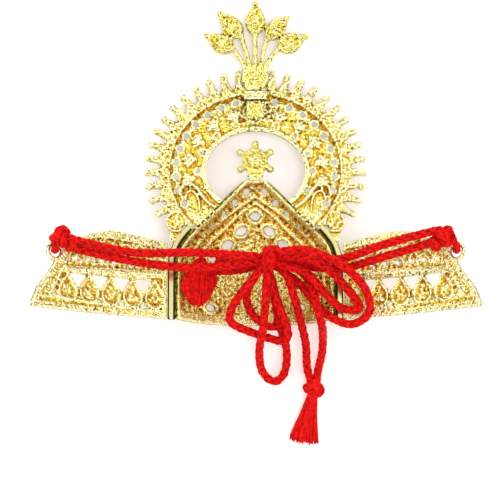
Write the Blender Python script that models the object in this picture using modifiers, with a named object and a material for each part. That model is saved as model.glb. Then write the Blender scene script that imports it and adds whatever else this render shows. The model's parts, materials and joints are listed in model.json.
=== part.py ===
"""A deity crown with a red tie cord, lying on its front.

The crown is drawn in its own frame: x to the right as seen from behind, v up the crown and t or w
towards its back. Flat plates are cut to outline, raised work is added to them, and the plates are then
bent to the crown's plan. At the end the whole crown is laid down on its front.
"""

import math

import bmesh
import bpy
import numpy as np
from mathutils import Matrix, Vector

MM = 0.001
GAP = 0.30 * MM
MERGE = 0.001 * MM
FLAT_ANGLE = math.radians(0.5)

# Centre panel: a pointed dome, open at its foot and at its back.
PANEL_HALF = 23.6 * MM
PANEL_HEIGHT = 42.8 * MM
PANEL_DEPTH = 12.0 * MM
PANEL_WALL = 1.2 * MM
PANEL_SHOULDER = 0.33 * PANEL_HEIGHT
PANEL_FULLNESS = 3.0
APEX_HALF = 3.0 * MM
# Half of the panel's outline, as shares of its half width and of its height.
PANEL_OUTLINE = (
    {"across": 1.000, "up": 0.000},
    {"across": 1.000, "up": 0.400},
    {"across": 0.990, "up": 0.450},
    {"across": 0.945, "up": 0.520},
    {"across": 0.870, "up": 0.580},
    {"across": 0.775, "up": 0.640},
    {"across": 0.590, "up": 0.738},
    {"across": 0.405, "up": 0.844},
)
RIM_WIDTH = 1.1 * MM
RIM_THICK = 1.9 * MM
BORDER_WIDTH = 2.9 * MM
PANEL_COLUMNS = 9
PANEL_ROWS = 5
# Openings in the panel: the chain of eyes under the inner arch, then the pair near the foot.
EYE_STEP_ACROSS = 4.3 * MM
EYE_STEP_DOWN = 4.2 * MM
EYE_BELOW_TIP = 9.2 * MM
EYE_TOP = PANEL_HEIGHT - EYE_BELOW_TIP
EYE_PAIRS = 4
EYE_LONG = 3.7 * MM
EYE_WIDE = 2.5 * MM
EYE_TURN = math.radians(25.0)
FOOT_EYE_ACROSS = 13.8 * MM
FOOT_EYE_UP = 5.4 * MM
FOOT_EYE_LONG = 2.8 * MM
FOOT_EYE_WIDE = 1.9 * MM
DOT_RADIUS = 0.75 * MM
DOT_FIRST_ACROSS = 2.7 * MM
DOT_STEP_ACROSS = 3.4 * MM
DOT_INSET = 3.2 * MM
DOTS_A_SIDE = 5

# Rail: the polished strip between the centre panel and a wing.
RAIL_WIDTH = 1.2 * MM
RAIL_HEIGHT = 3.0 * MM
RAIL_EDGE = 0.25 * MM
RAIL_TOP_SHARE = 0.660
RAIL_FOOT = 0.2 * MM
WALL_LEAN = 0.75 * MM

# Wing: a plate on an arc in plan, with a row of drop cups under a rail and a pierced band above it.
WING_LENGTH = 44.5 * MM
WING_HEIGHT = 25.3 * MM
WING_START_ANGLE = math.radians(22.0)
WING_END_ANGLE = math.radians(38.0)
WING_WALL = 1.0 * MM
# The wing's outline, as shares of its length and height.
WING_OUTLINE = (
    {"along": 0.000, "up": 0.000},
    {"along": 0.990, "up": 0.000},
    {"along": 1.000, "up": 0.045},
    {"along": 0.950, "up": 0.245},
    {"along": 0.883, "up": 0.390},
    {"along": 0.790, "up": 0.640},
    {"along": 0.745, "up": 0.760},
    {"along": 0.690, "up": 0.840},
    {"along": 0.610, "up": 0.905},
    {"along": 0.530, "up": 0.960},
    {"along": 0.430, "up": 1.000},
    {"along": 0.330, "up": 1.000},
    {"along": 0.200, "up": 0.965},
    {"along": 0.000, "up": 0.915},
)
CUPS = 5
CUP_FIRST = 3.9 * MM
CUP_STEP = 7.1 * MM
CUP_WIDE = 6.5 * MM
CUP_TALL = 9.1 * MM
CUP_FOOT = 2.6 * MM
CUP_WALL = 0.75 * MM
CUP_BACK = 1.1 * MM
CUP_FRONT = 1.5 * MM
MID_RAIL_UP = 12.4 * MM
MID_RAIL_WIDE = 1.9 * MM
MID_RAIL_THICK = 1.9 * MM
MID_RAIL_END_SHARE = 0.85
WING_BORDER = 2.2 * MM
WING_BORDER_THICK = 1.8 * MM
WING_INNER_EDGE = 0.5 * MM
WING_COLUMNS = 6
WEB_GAP = 0.55 * MM
BAND_EYES = 7
BAND_EYE_STEP = 4.2 * MM
BAND_EYE_FIRST = 4.6 * MM
BAND_EYE_LONG = 2.9 * MM
BAND_EYE_WIDE = 2.0 * MM
BAND_EYE_UP = 15.5 * MM
CREST_EYES = 5
CREST_EYE_FIRST = 8.6 * MM
CREST_EYE_DROP = 5.4 * MM
CREST_EYE_UP = WING_HEIGHT - CREST_EYE_DROP
CREST_EYE_RADIUS = 0.9 * MM

# Loop: the ring cast on the wing's outer top corner, which takes the cord. Its place is in shares of
# the wing's length and height, as the outline is.
LOOP_SHARE = {"along": 36.6 / 44.5, "up": 17.1 / 25.3}
LOOP_PLACE = (LOOP_SHARE["along"] * WING_LENGTH, LOOP_SHARE["up"] * WING_HEIGHT)
LOOP_RADIUS = 3.0 * MM
LOOP_HOLE = 1.7 * MM
LOOP_THICK = 1.4 * MM

# Halo: an oval ring of pierced work with a row of rays and a bezel at each lower end.
HALO_RISE = 2.8 * MM
HALO_UP = PANEL_HEIGHT + HALO_RISE
HALO_INNER = (15.0 * MM, 12.4 * MM)
HALO_OUTER = (28.6 * MM, 26.0 * MM)
HALO_RIM = (25.9 * MM, 23.9 * MM)
HALO_RIM_WIDTH = 0.8 * MM
HALO_WALL = 1.2 * MM
HALO_RIM_THICK = 2.2 * MM
HALO_LIP = 0.15 * MM
HALO_END = math.radians(150.0)
HALO_STEPS = 36
RAY_FIRST = math.radians(9.2)
RAY_STEP = math.radians(8.2)
RAYS_A_SIDE = 14
RAY_REACH = (32.8 * MM, 31.0 * MM)
RAY_FOOT_HALF = 1.7 * MM
RAY_NECK_HALF = 1.0 * MM
RAY_BALL = 1.15 * MM
HALO_DOTS = (24.2 * MM, 22.0 * MM)
HALO_DOT_RADIUS = 0.65 * MM
HALO_DOT_FIRST = math.radians(14.0)
HALO_DOT_STEP = math.radians(11.5)
HALO_DOTS_A_SIDE = 10
HALO_WINDOWS = (17.4 * MM, 14.7 * MM)
HALO_WINDOW_RADIUS = 0.9 * MM
HALO_WINDOW_FIRST = math.radians(20.0)
HALO_WINDOW_STEP = math.radians(23.5)
HALO_WINDOWS_A_SIDE = 5
PETAL_ROW = (20.7 * MM, 18.2 * MM)
PETALS = 11
PETAL_STEP = math.radians(20.0)
PETAL_LONG = 4.4 * MM
PETAL_WIDE = 3.2 * MM
PETAL_THICK = 2.0 * MM

# Side bezels, one at each lower end of the halo.
BEZEL_OUT = 0.3 * MM
BEZEL_DROP = 16.0 * MM
BEZEL_ACROSS = PANEL_HALF + BEZEL_OUT
BEZEL_UP = HALO_UP - BEZEL_DROP
BEZEL_RADIUS = 3.3 * MM
BEZEL_WALL = 0.7 * MM
BEZEL_BACK = 1.3 * MM
BEZEL_FRONT = 1.5 * MM
BEZEL_FLOOR = 0.5 * MM

# Plume: five buds on stems, with a tab that slides under a strap on the halo.
STRAP_INSET = 2.3 * MM
STRAP_UP = HALO_UP + HALO_OUTER[1] - STRAP_INSET
STRAP_TALL = 2.4 * MM
STRAP_HALF = 4.0 * MM
STRAP_LEG = 1.1 * MM
STRAP_THICK = 0.9 * MM
TAB_HALF = 2.3 * MM
TAB_THICK = 0.9 * MM
TAB_LONG = 8.0 * MM
TAB_FOOT_UP = STRAP_UP - TAB_LONG
TAB_DEPTH = HALO_RIM_THICK / 2 + GAP + TAB_THICK / 2
PLUME_CLEAR = 2.5 * MM
PLUME_UP = STRAP_UP + STRAP_TALL / 2 + PLUME_CLEAR
PLUME_BASE_TALL = 4.8 * MM
PLUME_BASE_HALF = 4.2 * MM
PLUME_NECK_HALF = 3.5 * MM
PLUME_BASE_THICK = 1.8 * MM
PLUME_BEND = math.radians(12.3)
STEM_HALF = 0.55 * MM
BUD_THICK = 3.2 * MM
# The buds from the centre outwards: where each starts and ends, across and above the plume's base.
BUDS = (
    {"foot": (0.0, 14.2), "tip": (0.3, 24.3), "wide": 5.6, "root": 0.0},
    {"foot": (-4.1, 13.6), "tip": (-11.2, 21.0), "wide": 5.2, "root": -1.5},
    {"foot": (3.9, 13.2), "tip": (10.2, 19.8), "wide": 5.2, "root": 1.5},
    {"foot": (-7.0, 9.6), "tip": (-15.4, 13.9), "wide": 5.6, "root": -2.9},
    {"foot": (7.0, 9.8), "tip": (15.7, 13.9), "wide": 5.6, "root": 2.9},
)

# A bud's shape: half its width as a share of the whole, at shares of its length.
BUD_SHAPE = (
    {"along": 0.00, "half": 0.16},
    {"along": 0.12, "half": 0.36},
    {"along": 0.30, "half": 0.50},
    {"along": 0.48, "half": 0.46},
    {"along": 0.70, "half": 0.26},
    {"along": 0.88, "half": 0.15},
    {"along": 1.00, "half": 0.10},
)

# Star finial on the panel's point.
STAR_RISE = 4.85 * MM
STAR_UP = PANEL_HEIGHT + WALL_LEAN + GAP + STAR_RISE
STAR_POINTS = 6
STAR_REACH = 6.2 * MM
STAR_WAIST = 3.7 * MM
STAR_BALL = 0.95 * MM
STAR_THICK = 1.8 * MM
STAR_FOOT_HALF = 2.6 * MM

# Stones.
STONE_SEAT = 0.15 * MM
STONE_SIDES = 12
STONE_GIRDLE = 0.35 * MM
STONE_TALL = 1.1 * MM
STONE_TABLE_SHARE = 0.55
BUD_STONE_SHARE = 0.38
BUD_STONE_RADIUS = 1.9 * MM
STAR_BOSS = 2.5 * MM

# Cord. Places are across, up and above the ground, in millimetres, from the crown's foot as it lies.
CORD_DIAMETER = 2.4 * MM
CORD_SIDES = 8
# Each tube's route, and how far apart its points stand in cord diameters.
CORDS = (
    {
        "name": "strand_left_upper",
        "spacing": 3.5,
        "route": (
            (-51.5, 23.3, 32.3), (-35.7, 19.9, 26.2), (-18.7, 19.9, 22.5), (-1.6, 18.9, 20.8),
        ),
    },
    {
        "name": "bow_loop_right_outer",
        "spacing": 2.2,
        "route": (
            (7.6, 20.1, 22.5), (14.6, 20.7, 24), (21.5, 18.4, 25.2), (27.6, 14.5, 25.7),
            (32.4, 9, 25.4), (33.6, 2.2, 23.9), (28.5, -1.4, 21.2), (22.1, 0.8, 18.9),
            (17.9, 4.7, 14.1), (13.4, 10.3, 13.8), (7.7, 14.6, 14.3),
        ),
    },
    {
        "name": "tail_left",
        "spacing": 3.2,
        "route": (
            (8.5, 14.7, 17.1), (11.6, 6.4, 15.9), (13.7, -1.2, 11.7), (15.4, -8.4, 6.6),
            (16.8, -17.9, 2.9),
        ),
    },
    {
        "name": "strand_left_lower",
        "spacing": 3.5,
        "route": (
            (-51.7, 20.7, 30.2), (-35.5, 17, 25.3), (-18.6, 15.4, 21.1), (-1.4, 16.8, 18.6),
        ),
    },
    {
        "name": "bow_loop_right_inner",
        "spacing": 2.7,
        "route": (
            (8.5, 18.6, 20.2), (15.6, 18.1, 21.6), (21.9, 14.7, 22.4), (26.9, 9.4, 22.7),
            (31, 3.6, 22.2), (25.5, 3.4, 20.2), (20.2, 8.3, 19.5), (15.4, 13.7, 19.8),
            (8.7, 16, 19.9),
        ),
    },
    {
        "name": "tail_right",
        "spacing": 2.2,
        "route": (
            (8, 16.7, 12.2), (13.8, 14.1, 12.6), (17, 9.5, 15.8), (18.3, 3.6, 20.6),
            (19.8, -1.8, 17.4), (20.4, -6, 10.1), (20.3, -10.9, 5.8), (19.3, -17.9, 2.8),
        ),
    },
    {
        "name": "strand_right_upper",
        "spacing": 3.5,
        "route": (
            (52.7, 26.8, 33), (38.6, 22.6, 27.5), (25.1, 18, 20.9), (9.9, 17.4, 17.7),
        ),
    },
    {
        "name": "bow_loop_left_outer",
        "spacing": 2.2,
        "route": (
            (0.4, 13.4, 18.9), (-3.5, 7.7, 17.4), (-6.5, 1.7, 15.1), (-3.7, -3.4, 12.3),
            (2.7, -5.2, 10.1), (9.3, -6.1, 11.4), (8.5, 0, 14.9), (5.2, 6.2, 15.7),
            (4.2, 12.9, 16.8),
        ),
    },
    {
        "name": "drop_loop",
        "spacing": 2.8,
        "route": (
            (3.3, 12.3, 19.5), (2.9, 4.3, 17.3), (2.2, -3.4, 15), (1.2, -9.6, 9.7),
            (2, -16.2, 3.9), (8.4, -16.9, 2.6), (9.4, -9.1, 5.4), (7.2, -1.8, 9.1),
            (5.7, 6.3, 9.2), (4, 14.2, 11.1),
        ),
    },
    {
        "name": "side_tail_upper",
        "spacing": 3.0,
        "route": (
            (0.2, 16.8, 14.5), (-6.6, 16.8, 13.2), (-11.9, 17.3, 12),
        ),
    },
    {
        "name": "strand_right_lower",
        "spacing": 3.5,
        "route": (
            (51.2, 22.9, 30.3), (38.9, 19, 26.2), (25.1, 15.2, 18.7), (9.8, 16.5, 14.8),
        ),
    },
    {
        "name": "bow_loop_left_inner",
        "spacing": 2.5,
        "route": (
            (0.4, 13.4, 15.9), (-2.7, 7.5, 14.1), (-1, 1.3, 11.8), (4.6, -2.7, 11.2),
            (8, 0.2, 12.0), (6.1, 6.8, 12.8), (4.3, 13.3, 13.9),
        ),
    },
    {
        "name": "side_tail_lower",
        "spacing": 3.0,
        "route": (
            (1.9, 15.9, 12.0), (-5.8, 14.4, 10.9), (-12.2, 14.2, 9.5),
        ),
    },
)
# Knots are lumps of cord: their centres and half sizes.
BOW_KNOT = {"centre": (3.9, 18.1, 18.0), "half": (4.0, 4.0, 6.3)}
RING_KNOT = {"centre": (56.4, 24.7, 32.9), "half": (2.9, 2.9, 2.8)}
RING_KNOT_SECOND = {"centre": (54.4, 22.3, 31.4), "half": (2.2, 2.2, 2.1)}
# The turn of cord through a wing's ring: along, up and out from the ring's centre.
HITCH = (
    (-1.5, 3.4, 3.6), (-0.2, 0.9, 1.9), (0.0, 0.0, 0.0), (-0.2, 0.9, -2.3),
    (-1.2, 3.4, -2.6), (-2.0, 5.3, -1.0), (-2.0, 5.2, 1.4), (-1.7, 4.2, 3.6),
)
# Tassels: a head, and a skirt of locks that runs from it along its own line and widens.
TASSELS = (
    {
        "name": "tassel_main",
        "centre": (18.0, -21.6, 3.2),
        "half": (3.0, 3.1, 3.0),
        "end": (14.8, -37.8, 1.9),
        "across": (1.0, -0.2, 0.0),
        "width": 4.5,
        "thick": 1.7,
    },
    {
        "name": "tassel_side",
        "centre": (-15.2, 16.0, 12.6),
        "half": (2.4, 2.4, 2.2),
        "end": (-16.6, 4.8, 14.6),
        "across": (0.86, 0.1, -0.5),
        "width": 4.0,
        "thick": 1.4,
    },
)
LOCKS = 9
LOCK_DEPTH = 0.16
# The skirt's half width and half thickness as shares of a tassel's own, at shares of its length.
TASSEL_STATIONS = (
    {"along": 0.00, "width": 0.33, "thick": 0.86},
    {"along": 0.22, "width": 0.47, "thick": 1.09},
    {"along": 0.50, "width": 0.64, "thick": 1.03},
    {"along": 0.78, "width": 0.84, "thick": 1.00},
    {"along": 1.00, "width": 1.00, "thick": 0.80},
)
TASSEL_RAGGED = 0.05
LUMP_SEGMENTS = 12
LUMP_RINGS = 7

COLLECTION = "deity_crown"
GOLD = (0.89, 0.66, 0.20, 1.0)
RED_STONE = (0.55, 0.02, 0.04, 1.0)
CLEAR_STONE = (0.90, 0.90, 0.92, 1.0)
RED_CORD = (0.75, 0.03, 0.02, 1.0)


def clear_scene():
    for obj in list(bpy.data.objects):
        bpy.data.objects.remove(obj)


def make_material(name, colour, roughness, metallic):
    material = bpy.data.materials.new(name)
    material.use_nodes = True
    shader = material.node_tree.nodes["Principled BSDF"]
    shader.inputs["Base Color"].default_value = colour
    shader.inputs["Roughness"].default_value = roughness
    shader.inputs["Metallic"].default_value = metallic
    material.diffuse_color = colour
    return material


def collection_named(name):
    if name not in bpy.data.collections:
        made = bpy.data.collections.new(name)
        bpy.context.scene.collection.children.link(made)
    return bpy.data.collections[name]


def link_new(name, data):
    obj = bpy.data.objects.new(name, data)
    collection_named(COLLECTION).objects.link(obj)
    return obj


def evaluated_mesh(obj):
    bpy.context.view_layer.update()
    graph = bpy.context.evaluated_depsgraph_get()
    return bpy.data.meshes.new_from_object(obj.evaluated_get(graph))


def clean(mesh):
    bm = bmesh.new()
    bm.from_mesh(mesh)
    bmesh.ops.remove_doubles(bm, verts=bm.verts, dist=MERGE)
    bmesh.ops.dissolve_degenerate(bm, edges=bm.edges, dist=MERGE)
    bmesh.ops.recalc_face_normals(bm, faces=bm.faces)
    bm.to_mesh(mesh)
    bm.free()


def as_mesh(obj):
    """The object with its curve or its modifiers turned into a plain closed mesh."""
    mesh = evaluated_mesh(obj)
    mesh.transform(obj.matrix_world)
    clean(mesh)
    name = obj.name
    bpy.data.objects.remove(obj)
    return link_new(name, mesh)


def plate(name, outline, low, high, holes=()):
    """A flat plate in the x-v plane from depth low to depth high, with holes through it."""
    curve = bpy.data.curves.new(name, "CURVE")
    curve.dimensions = "2D"
    curve.fill_mode = "BOTH"
    curve.extrude = (high - low) / 2
    for loop in [outline, *holes]:
        spline = curve.splines.new("POLY")
        spline.points.add(len(loop) - 1)
        for point, (x, v) in zip(spline.points, loop):
            point.co = (x, v, 0, 1)
        spline.use_cyclic_u = True
    obj = link_new(name, curve)
    obj.location.z = (high + low) / 2
    bpy.context.view_layer.update()
    return as_mesh(obj)


def boolean(base, others, operation):
    """The base with the others joined to it or cut from it. The others are used up."""
    group = bpy.data.collections.new("tools")
    bpy.context.scene.collection.children.link(group)
    for other in others:
        group.objects.link(other)
    modifier = base.modifiers.new(operation.lower(), "BOOLEAN")
    modifier.operation = operation
    modifier.solver = "EXACT"
    modifier.operand_type = "COLLECTION"
    modifier.collection = group
    result = as_mesh(base)
    for other in others:
        bpy.data.objects.remove(other)
    bpy.data.collections.remove(group)
    return result


def ellipse(centre, radii, sides, turn=0.0):
    points = []
    for i in range(sides):
        angle = math.tau * i / sides
        x = radii[0] * math.cos(angle)
        v = radii[1] * math.sin(angle)
        points.append(
            (
                centre[0] + x * math.cos(turn) - v * math.sin(turn),
                centre[1] + x * math.sin(turn) + v * math.cos(turn),
            )
        )
    return points


def pointed_oval(centre, long, wide, sides, turn=0.0):
    """An oval with a point at each end of its long axis, as a leaf or an eye has."""
    points = []
    for i in range(sides):
        angle = math.tau * i / sides
        x = long / 2 * math.cos(angle)
        v = wide / 2 * math.sin(angle) * math.sqrt(abs(math.sin(angle)))
        points.append(
            (
                centre[0] + x * math.cos(turn) - v * math.sin(turn),
                centre[1] + x * math.sin(turn) + v * math.cos(turn),
            )
        )
    return points


def drop(foot, wide, tall, sides=11, inset=0.0):
    """A drop shape, round below and pointed above, standing on foot."""
    radius = wide / 2
    centre_v = foot[1] + radius
    rise = tall - radius
    lean = math.asin(min(0.95, radius / rise))
    small = radius - inset
    points = []
    for i in range(sides):
        angle = lean + (-math.pi - 2 * lean) * i / (sides - 1)
        points.append(
            (foot[0] + small * math.cos(angle), centre_v + small * math.sin(angle))
        )
    points.append((foot[0], centre_v + rise - inset / math.sin(lean)))
    return points


def inset_loop(points, distance):
    """The closed outline moved inwards by distance, corner by corner. It runs anticlockwise."""
    moved = []
    count = len(points)
    for i in range(count):
        before = Vector(points[i - 1])
        here = Vector(points[i])
        after = Vector(points[(i + 1) % count])
        first = (here - before).normalized()
        second = (after - here).normalized()
        inward_first = Vector((-first.y, first.x))
        inward_second = Vector((-second.y, second.x))
        mean = (inward_first + inward_second).normalized()
        reach = distance / max(0.35, mean.dot(inward_first))
        moved.append(tuple(here + mean * reach))
    return moved


def strip(path, width):
    """The outline of a strip of that width along an open path."""
    left = []
    right = []
    for i, here in enumerate(path):
        before = Vector(path[max(i - 1, 0)])
        after = Vector(path[min(i + 1, len(path) - 1)])
        along = (after - before).normalized()
        side = Vector((-along.y, along.x)) * (width / 2)
        left.append(tuple(Vector(here) + side))
        right.append(tuple(Vector(here) - side))
    return right + left[::-1]


def mirrored(points):
    return [(-x, v) for x, v in reversed(points)]


def merge_flat_faces(bm):
    bmesh.ops.dissolve_limit(bm, angle_limit=FLAT_ANGLE, verts=bm.verts, edges=bm.edges)


def slice_and_bend(obj, cuts_across, cuts_up, bend):
    """The flat plate cut along lines across and up it, then each point moved by bend."""
    bm = bmesh.new()
    bm.from_mesh(obj.data)
    merge_flat_faces(bm)
    for normal, places in (((1, 0, 0), cuts_across), ((0, 1, 0), cuts_up)):
        for place in places:
            geometry = list(bm.verts) + list(bm.edges) + list(bm.faces)
            bmesh.ops.bisect_plane(
                bm,
                geom=geometry,
                dist=MERGE,
                plane_co=Vector(normal) * place,
                plane_no=normal,
            )
    bmesh.ops.triangulate(bm, faces=bm.faces)
    for vert in bm.verts:
        vert.co = bend(vert.co.x, vert.co.y, vert.co.z)
    bm.to_mesh(obj.data)
    bm.free()
    clean(obj.data)
    return obj


def panel_half_width(v):
    """Half the width of the centre panel's outline at height v."""
    rows = [(r["up"] * PANEL_HEIGHT, r["across"] * PANEL_HALF) for r in PANEL_OUTLINE]
    rows.append((PANEL_HEIGHT, APEX_HALF))
    return float(np.interp(v, [r[0] for r in rows], [r[1] for r in rows]))


def panel_depth(x, v):
    """How far the centre panel bulges forward of its rim, as a negative w."""
    across = min(1.0, abs(x) / panel_half_width(v))
    rise = max(0.0, (v - PANEL_SHOULDER) / (PANEL_HEIGHT - PANEL_SHOULDER))
    crown = math.cos(math.pi / 2 * min(1.0, rise) ** 1.5)
    return -PANEL_DEPTH * crown * (1 - across**PANEL_FULLNESS)


def panel_normal(x, v):
    probe = 0.4 * MM
    slope_x = (panel_depth(x + probe, v) - panel_depth(x - probe, v)) / (2 * probe)
    slope_v = (panel_depth(x, v + probe) - panel_depth(x, v - probe)) / (2 * probe)
    if v < PANEL_SHOULDER:
        slope_v = 0.0
    return Vector((-slope_x, -slope_v, 1.0)).normalized()


def on_panel(x, v, t):
    return Vector((x, v, panel_depth(x, v))) + panel_normal(x, v) * t


def wing_point(side, s, v, t):
    """The point of a wing at length s along it, height v and depth t, on its arc in plan."""
    sweep = WING_END_ANGLE - WING_START_ANGLE
    radius = WING_LENGTH / sweep
    angle = WING_START_ANGLE + s / radius
    start = wing_start()
    x = start + radius * (math.sin(angle) - math.sin(WING_START_ANGLE))
    w = radius * (math.cos(WING_START_ANGLE) - math.cos(angle))
    return Vector((side * (x - math.sin(angle) * t), v, w + math.cos(angle) * t))


def rail_start():
    return PANEL_HALF + WALL_LEAN + GAP


def wing_start():
    return rail_start() + RAIL_WIDTH + GAP + 0.5 * WING_WALL


def panel_outline(grow=0.0):
    """The whole outline of the centre panel, anticlockwise, grown outwards by grow."""
    right = [
        (r["across"] * PANEL_HALF, r["up"] * PANEL_HEIGHT) for r in PANEL_OUTLINE
    ]
    right.append((APEX_HALF, PANEL_HEIGHT))
    whole = right + mirrored(right)
    return inset_loop(whole, -grow) if grow else whole


def pediment_height(x):
    """The height of the panel's outline above the shoulders, at that distance from the middle."""
    rows = [(r["across"] * PANEL_HALF, r["up"] * PANEL_HEIGHT) for r in PANEL_OUTLINE[1:]]
    rows = sorted([*rows, (APEX_HALF, PANEL_HEIGHT)])
    return float(np.interp(x, [r[0] for r in rows], [r[1] for r in rows]))


def build_centre_panel(gold):
    outline = panel_outline()
    holes = []
    for pair in range(EYE_PAIRS + 1):
        up = EYE_TOP - pair * EYE_STEP_DOWN
        for side in (-1, 1) if pair else (1,):
            turn = -side * EYE_TURN if pair else 0.0
            place = (side * pair * EYE_STEP_ACROSS, up)
            holes.append(pointed_oval(place, EYE_LONG, EYE_WIDE, 8, turn))
    for side in (-1, 1):
        place = (side * FOOT_EYE_ACROSS, FOOT_EYE_UP)
        holes.append(pointed_oval(place, FOOT_EYE_LONG, FOOT_EYE_WIDE, 8))
        for i in range(DOTS_A_SIDE):
            across = DOT_FIRST_ACROSS + i * DOT_STEP_ACROSS
            up = pediment_height(across) - DOT_INSET
            holes.append(ellipse((side * across, up), (DOT_RADIUS,) * 2, 6))
    sheet = inset_loop(outline, RIM_WIDTH / 2)
    panel = plate("centre_panel", sheet, -PANEL_WALL / 2, PANEL_WALL / 2, holes)
    inner = inset_loop(outline, RIM_WIDTH)
    inner = [(x, max(v, BORDER_WIDTH)) for x, v in inner]
    rim = plate("rim", outline, -RIM_THICK / 2, RIM_THICK / 2, [inner])
    panel = boolean(panel, [rim], "UNION")
    width = 2 * PANEL_HALF / PANEL_COLUMNS
    across = [-PANEL_HALF + width * i for i in range(1, PANEL_COLUMNS)]
    rise = (PANEL_HEIGHT - PANEL_SHOULDER) / PANEL_ROWS
    up = [PANEL_SHOULDER + rise * i for i in range(PANEL_ROWS)]
    slice_and_bend(panel, across, up, on_panel)
    panel.data.materials.append(gold)
    return panel


def rail_path():
    """The middle line of a rail, along the panel's side and round its shoulder."""
    distance = WALL_LEAN + GAP + RAIL_WIDTH / 2
    path = inset_loop(panel_outline(), -distance)
    top = RAIL_TOP_SHARE * PANEL_HEIGHT
    kept = [point for point in path[1 : len(PANEL_OUTLINE)] if point[1] < top]
    return [(kept[0][0], RAIL_FOOT), *kept]


def build_rail(side, name, gold):
    path = [(side * x, v) for x, v in rail_path()]
    outline = strip(path, RAIL_WIDTH)
    rail = plate(name, outline, -RAIL_HEIGHT / 2, RAIL_HEIGHT / 2)
    bevel = rail.modifiers.new("edge", "BEVEL")
    bevel.width = RAIL_EDGE
    bevel.segments = 1
    bevel.limit_method = "ANGLE"
    rail = as_mesh(rail)
    rail.data.materials.append(gold)
    return rail


def cup_foot(i):
    return (CUP_FIRST + i * CUP_STEP, CUP_FOOT)


def web_gaps():
    """The gaps beside the cups: a large one above and a small one below each space between two."""
    gaps = []
    low = WING_BORDER + WEB_GAP / 2
    high = MID_RAIL_UP - MID_RAIL_WIDE / 2 - WEB_GAP / 2
    round_up = CUP_FOOT + CUP_WIDE / 2
    for i in range(CUPS - 1):
        middle = cup_foot(i)[0] + CUP_STEP / 2
        half = CUP_STEP / 2 - WEB_GAP
        neck = round_up + 0.22 * CUP_WIDE
        gaps.append([(middle, neck), (middle + half, high), (middle - half, high)])
        foot = round_up - 0.26 * CUP_WIDE
        gaps.append([(middle - 0.24 * CUP_WIDE, low), (middle + 0.24 * CUP_WIDE, low), (middle, foot)])
    return gaps


def build_wing(side, name, gold):
    outline = [(r["along"] * WING_LENGTH, r["up"] * WING_HEIGHT) for r in WING_OUTLINE]
    holes = web_gaps()
    for i in range(BAND_EYES):
        place = (BAND_EYE_FIRST + i * BAND_EYE_STEP, BAND_EYE_UP)
        holes.append(pointed_oval(place, BAND_EYE_LONG, BAND_EYE_WIDE, 6))
    for i in range(CREST_EYES):
        place = (CREST_EYE_FIRST + i * BAND_EYE_STEP, CREST_EYE_UP)
        holes.append(ellipse(place, (CREST_EYE_RADIUS,) * 2, 6))
    sheet = inset_loop(outline, WING_INNER_EDGE / 2)
    wing = plate(name, sheet, -WING_WALL / 2, WING_WALL / 2, holes)
    half = WING_BORDER_THICK / 2
    inner = inset_loop(outline, WING_BORDER)
    inner[0] = (WING_INNER_EDGE, inner[0][1])
    inner[-1] = (WING_INNER_EDGE, inner[-1][1])
    joined = [plate("border", outline, -half, half, [inner])]
    rail_end = MID_RAIL_END_SHARE * WING_LENGTH
    bar = strip([(0.3 * MM, MID_RAIL_UP), (rail_end, MID_RAIL_UP)], MID_RAIL_WIDE)
    joined.append(plate("bar", bar, -MID_RAIL_THICK / 2, MID_RAIL_THICK / 2))
    ring = ellipse(LOOP_PLACE, (LOOP_RADIUS,) * 2, 14)
    hole = ellipse(LOOP_PLACE, (LOOP_HOLE,) * 2, 10)
    joined.append(plate("ring", ring, -LOOP_THICK / 2, LOOP_THICK / 2, [hole]))
    for i in range(CUPS):
        outer = drop(cup_foot(i), CUP_WIDE, CUP_TALL)
        inner = drop(cup_foot(i), CUP_WIDE, CUP_TALL, inset=CUP_WALL)
        joined.append(plate("cup", outer, -CUP_FRONT, CUP_BACK, [inner]))
    wing = boolean(wing, joined, "UNION")
    hole = ellipse(LOOP_PLACE, (LOOP_HOLE,) * 2, 10)
    wing = boolean(wing, [plate("bore", hole, -2 * MM, 2 * MM)], "DIFFERENCE")
    cuts = [WING_LENGTH * i / WING_COLUMNS for i in range(1, WING_COLUMNS)]
    slice_and_bend(wing, cuts, [], lambda s, v, t: wing_point(side, s, v, t))
    wing.data.materials.append(gold)
    return wing


def halo_point(radii, angle):
    return (radii[0] * math.sin(angle), HALO_UP + radii[1] * math.cos(angle))


def halo_arc(radii, first, last, count):
    return [halo_point(radii, first + (last - first) * i / count) for i in range(count + 1)]


def ray(angle):
    """One ray's outline from the halo's edge, out to its round end and back."""
    tip = Vector(halo_point(RAY_REACH, angle))
    foot = Vector(halo_point(HALO_OUTER, angle))
    out = (tip - foot).normalized()
    across = Vector((out.y, -out.x))
    neck = tip - out * RAY_BALL
    points = [foot - across * RAY_FOOT_HALF, neck - across * RAY_NECK_HALF]
    for turn in (-80, -40, 0, 40, 80):
        swing = math.radians(turn)
        points.append(tip + (out * math.cos(swing) + across * math.sin(swing)) * RAY_BALL)
    points += [neck + across * RAY_NECK_HALF, foot + across * RAY_FOOT_HALF]
    return [tuple(point) for point in points]


def halo_outline():
    rays = []
    for i in range(-RAYS_A_SIDE, RAYS_A_SIDE):
        angle = RAY_FIRST + i * RAY_STEP if i >= 0 else -RAY_FIRST + (i + 1) * RAY_STEP
        rays += ray(angle)
    ends = halo_arc(HALO_OUTER, RAY_FIRST + RAYS_A_SIDE * RAY_STEP, HALO_END, 3)
    starts = [(-x, v) for x, v in reversed(ends)]
    inner = halo_arc(HALO_INNER, HALO_END, -HALO_END, HALO_STEPS)
    return (starts + rays + ends + inner)[::-1]


def rim_band(radii, width):
    outer = halo_arc(radii, -HALO_END, HALO_END, HALO_STEPS)
    inner = halo_arc((radii[0] - width, radii[1] - width), HALO_END, -HALO_END, HALO_STEPS)
    return (outer + inner)[::-1]


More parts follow.
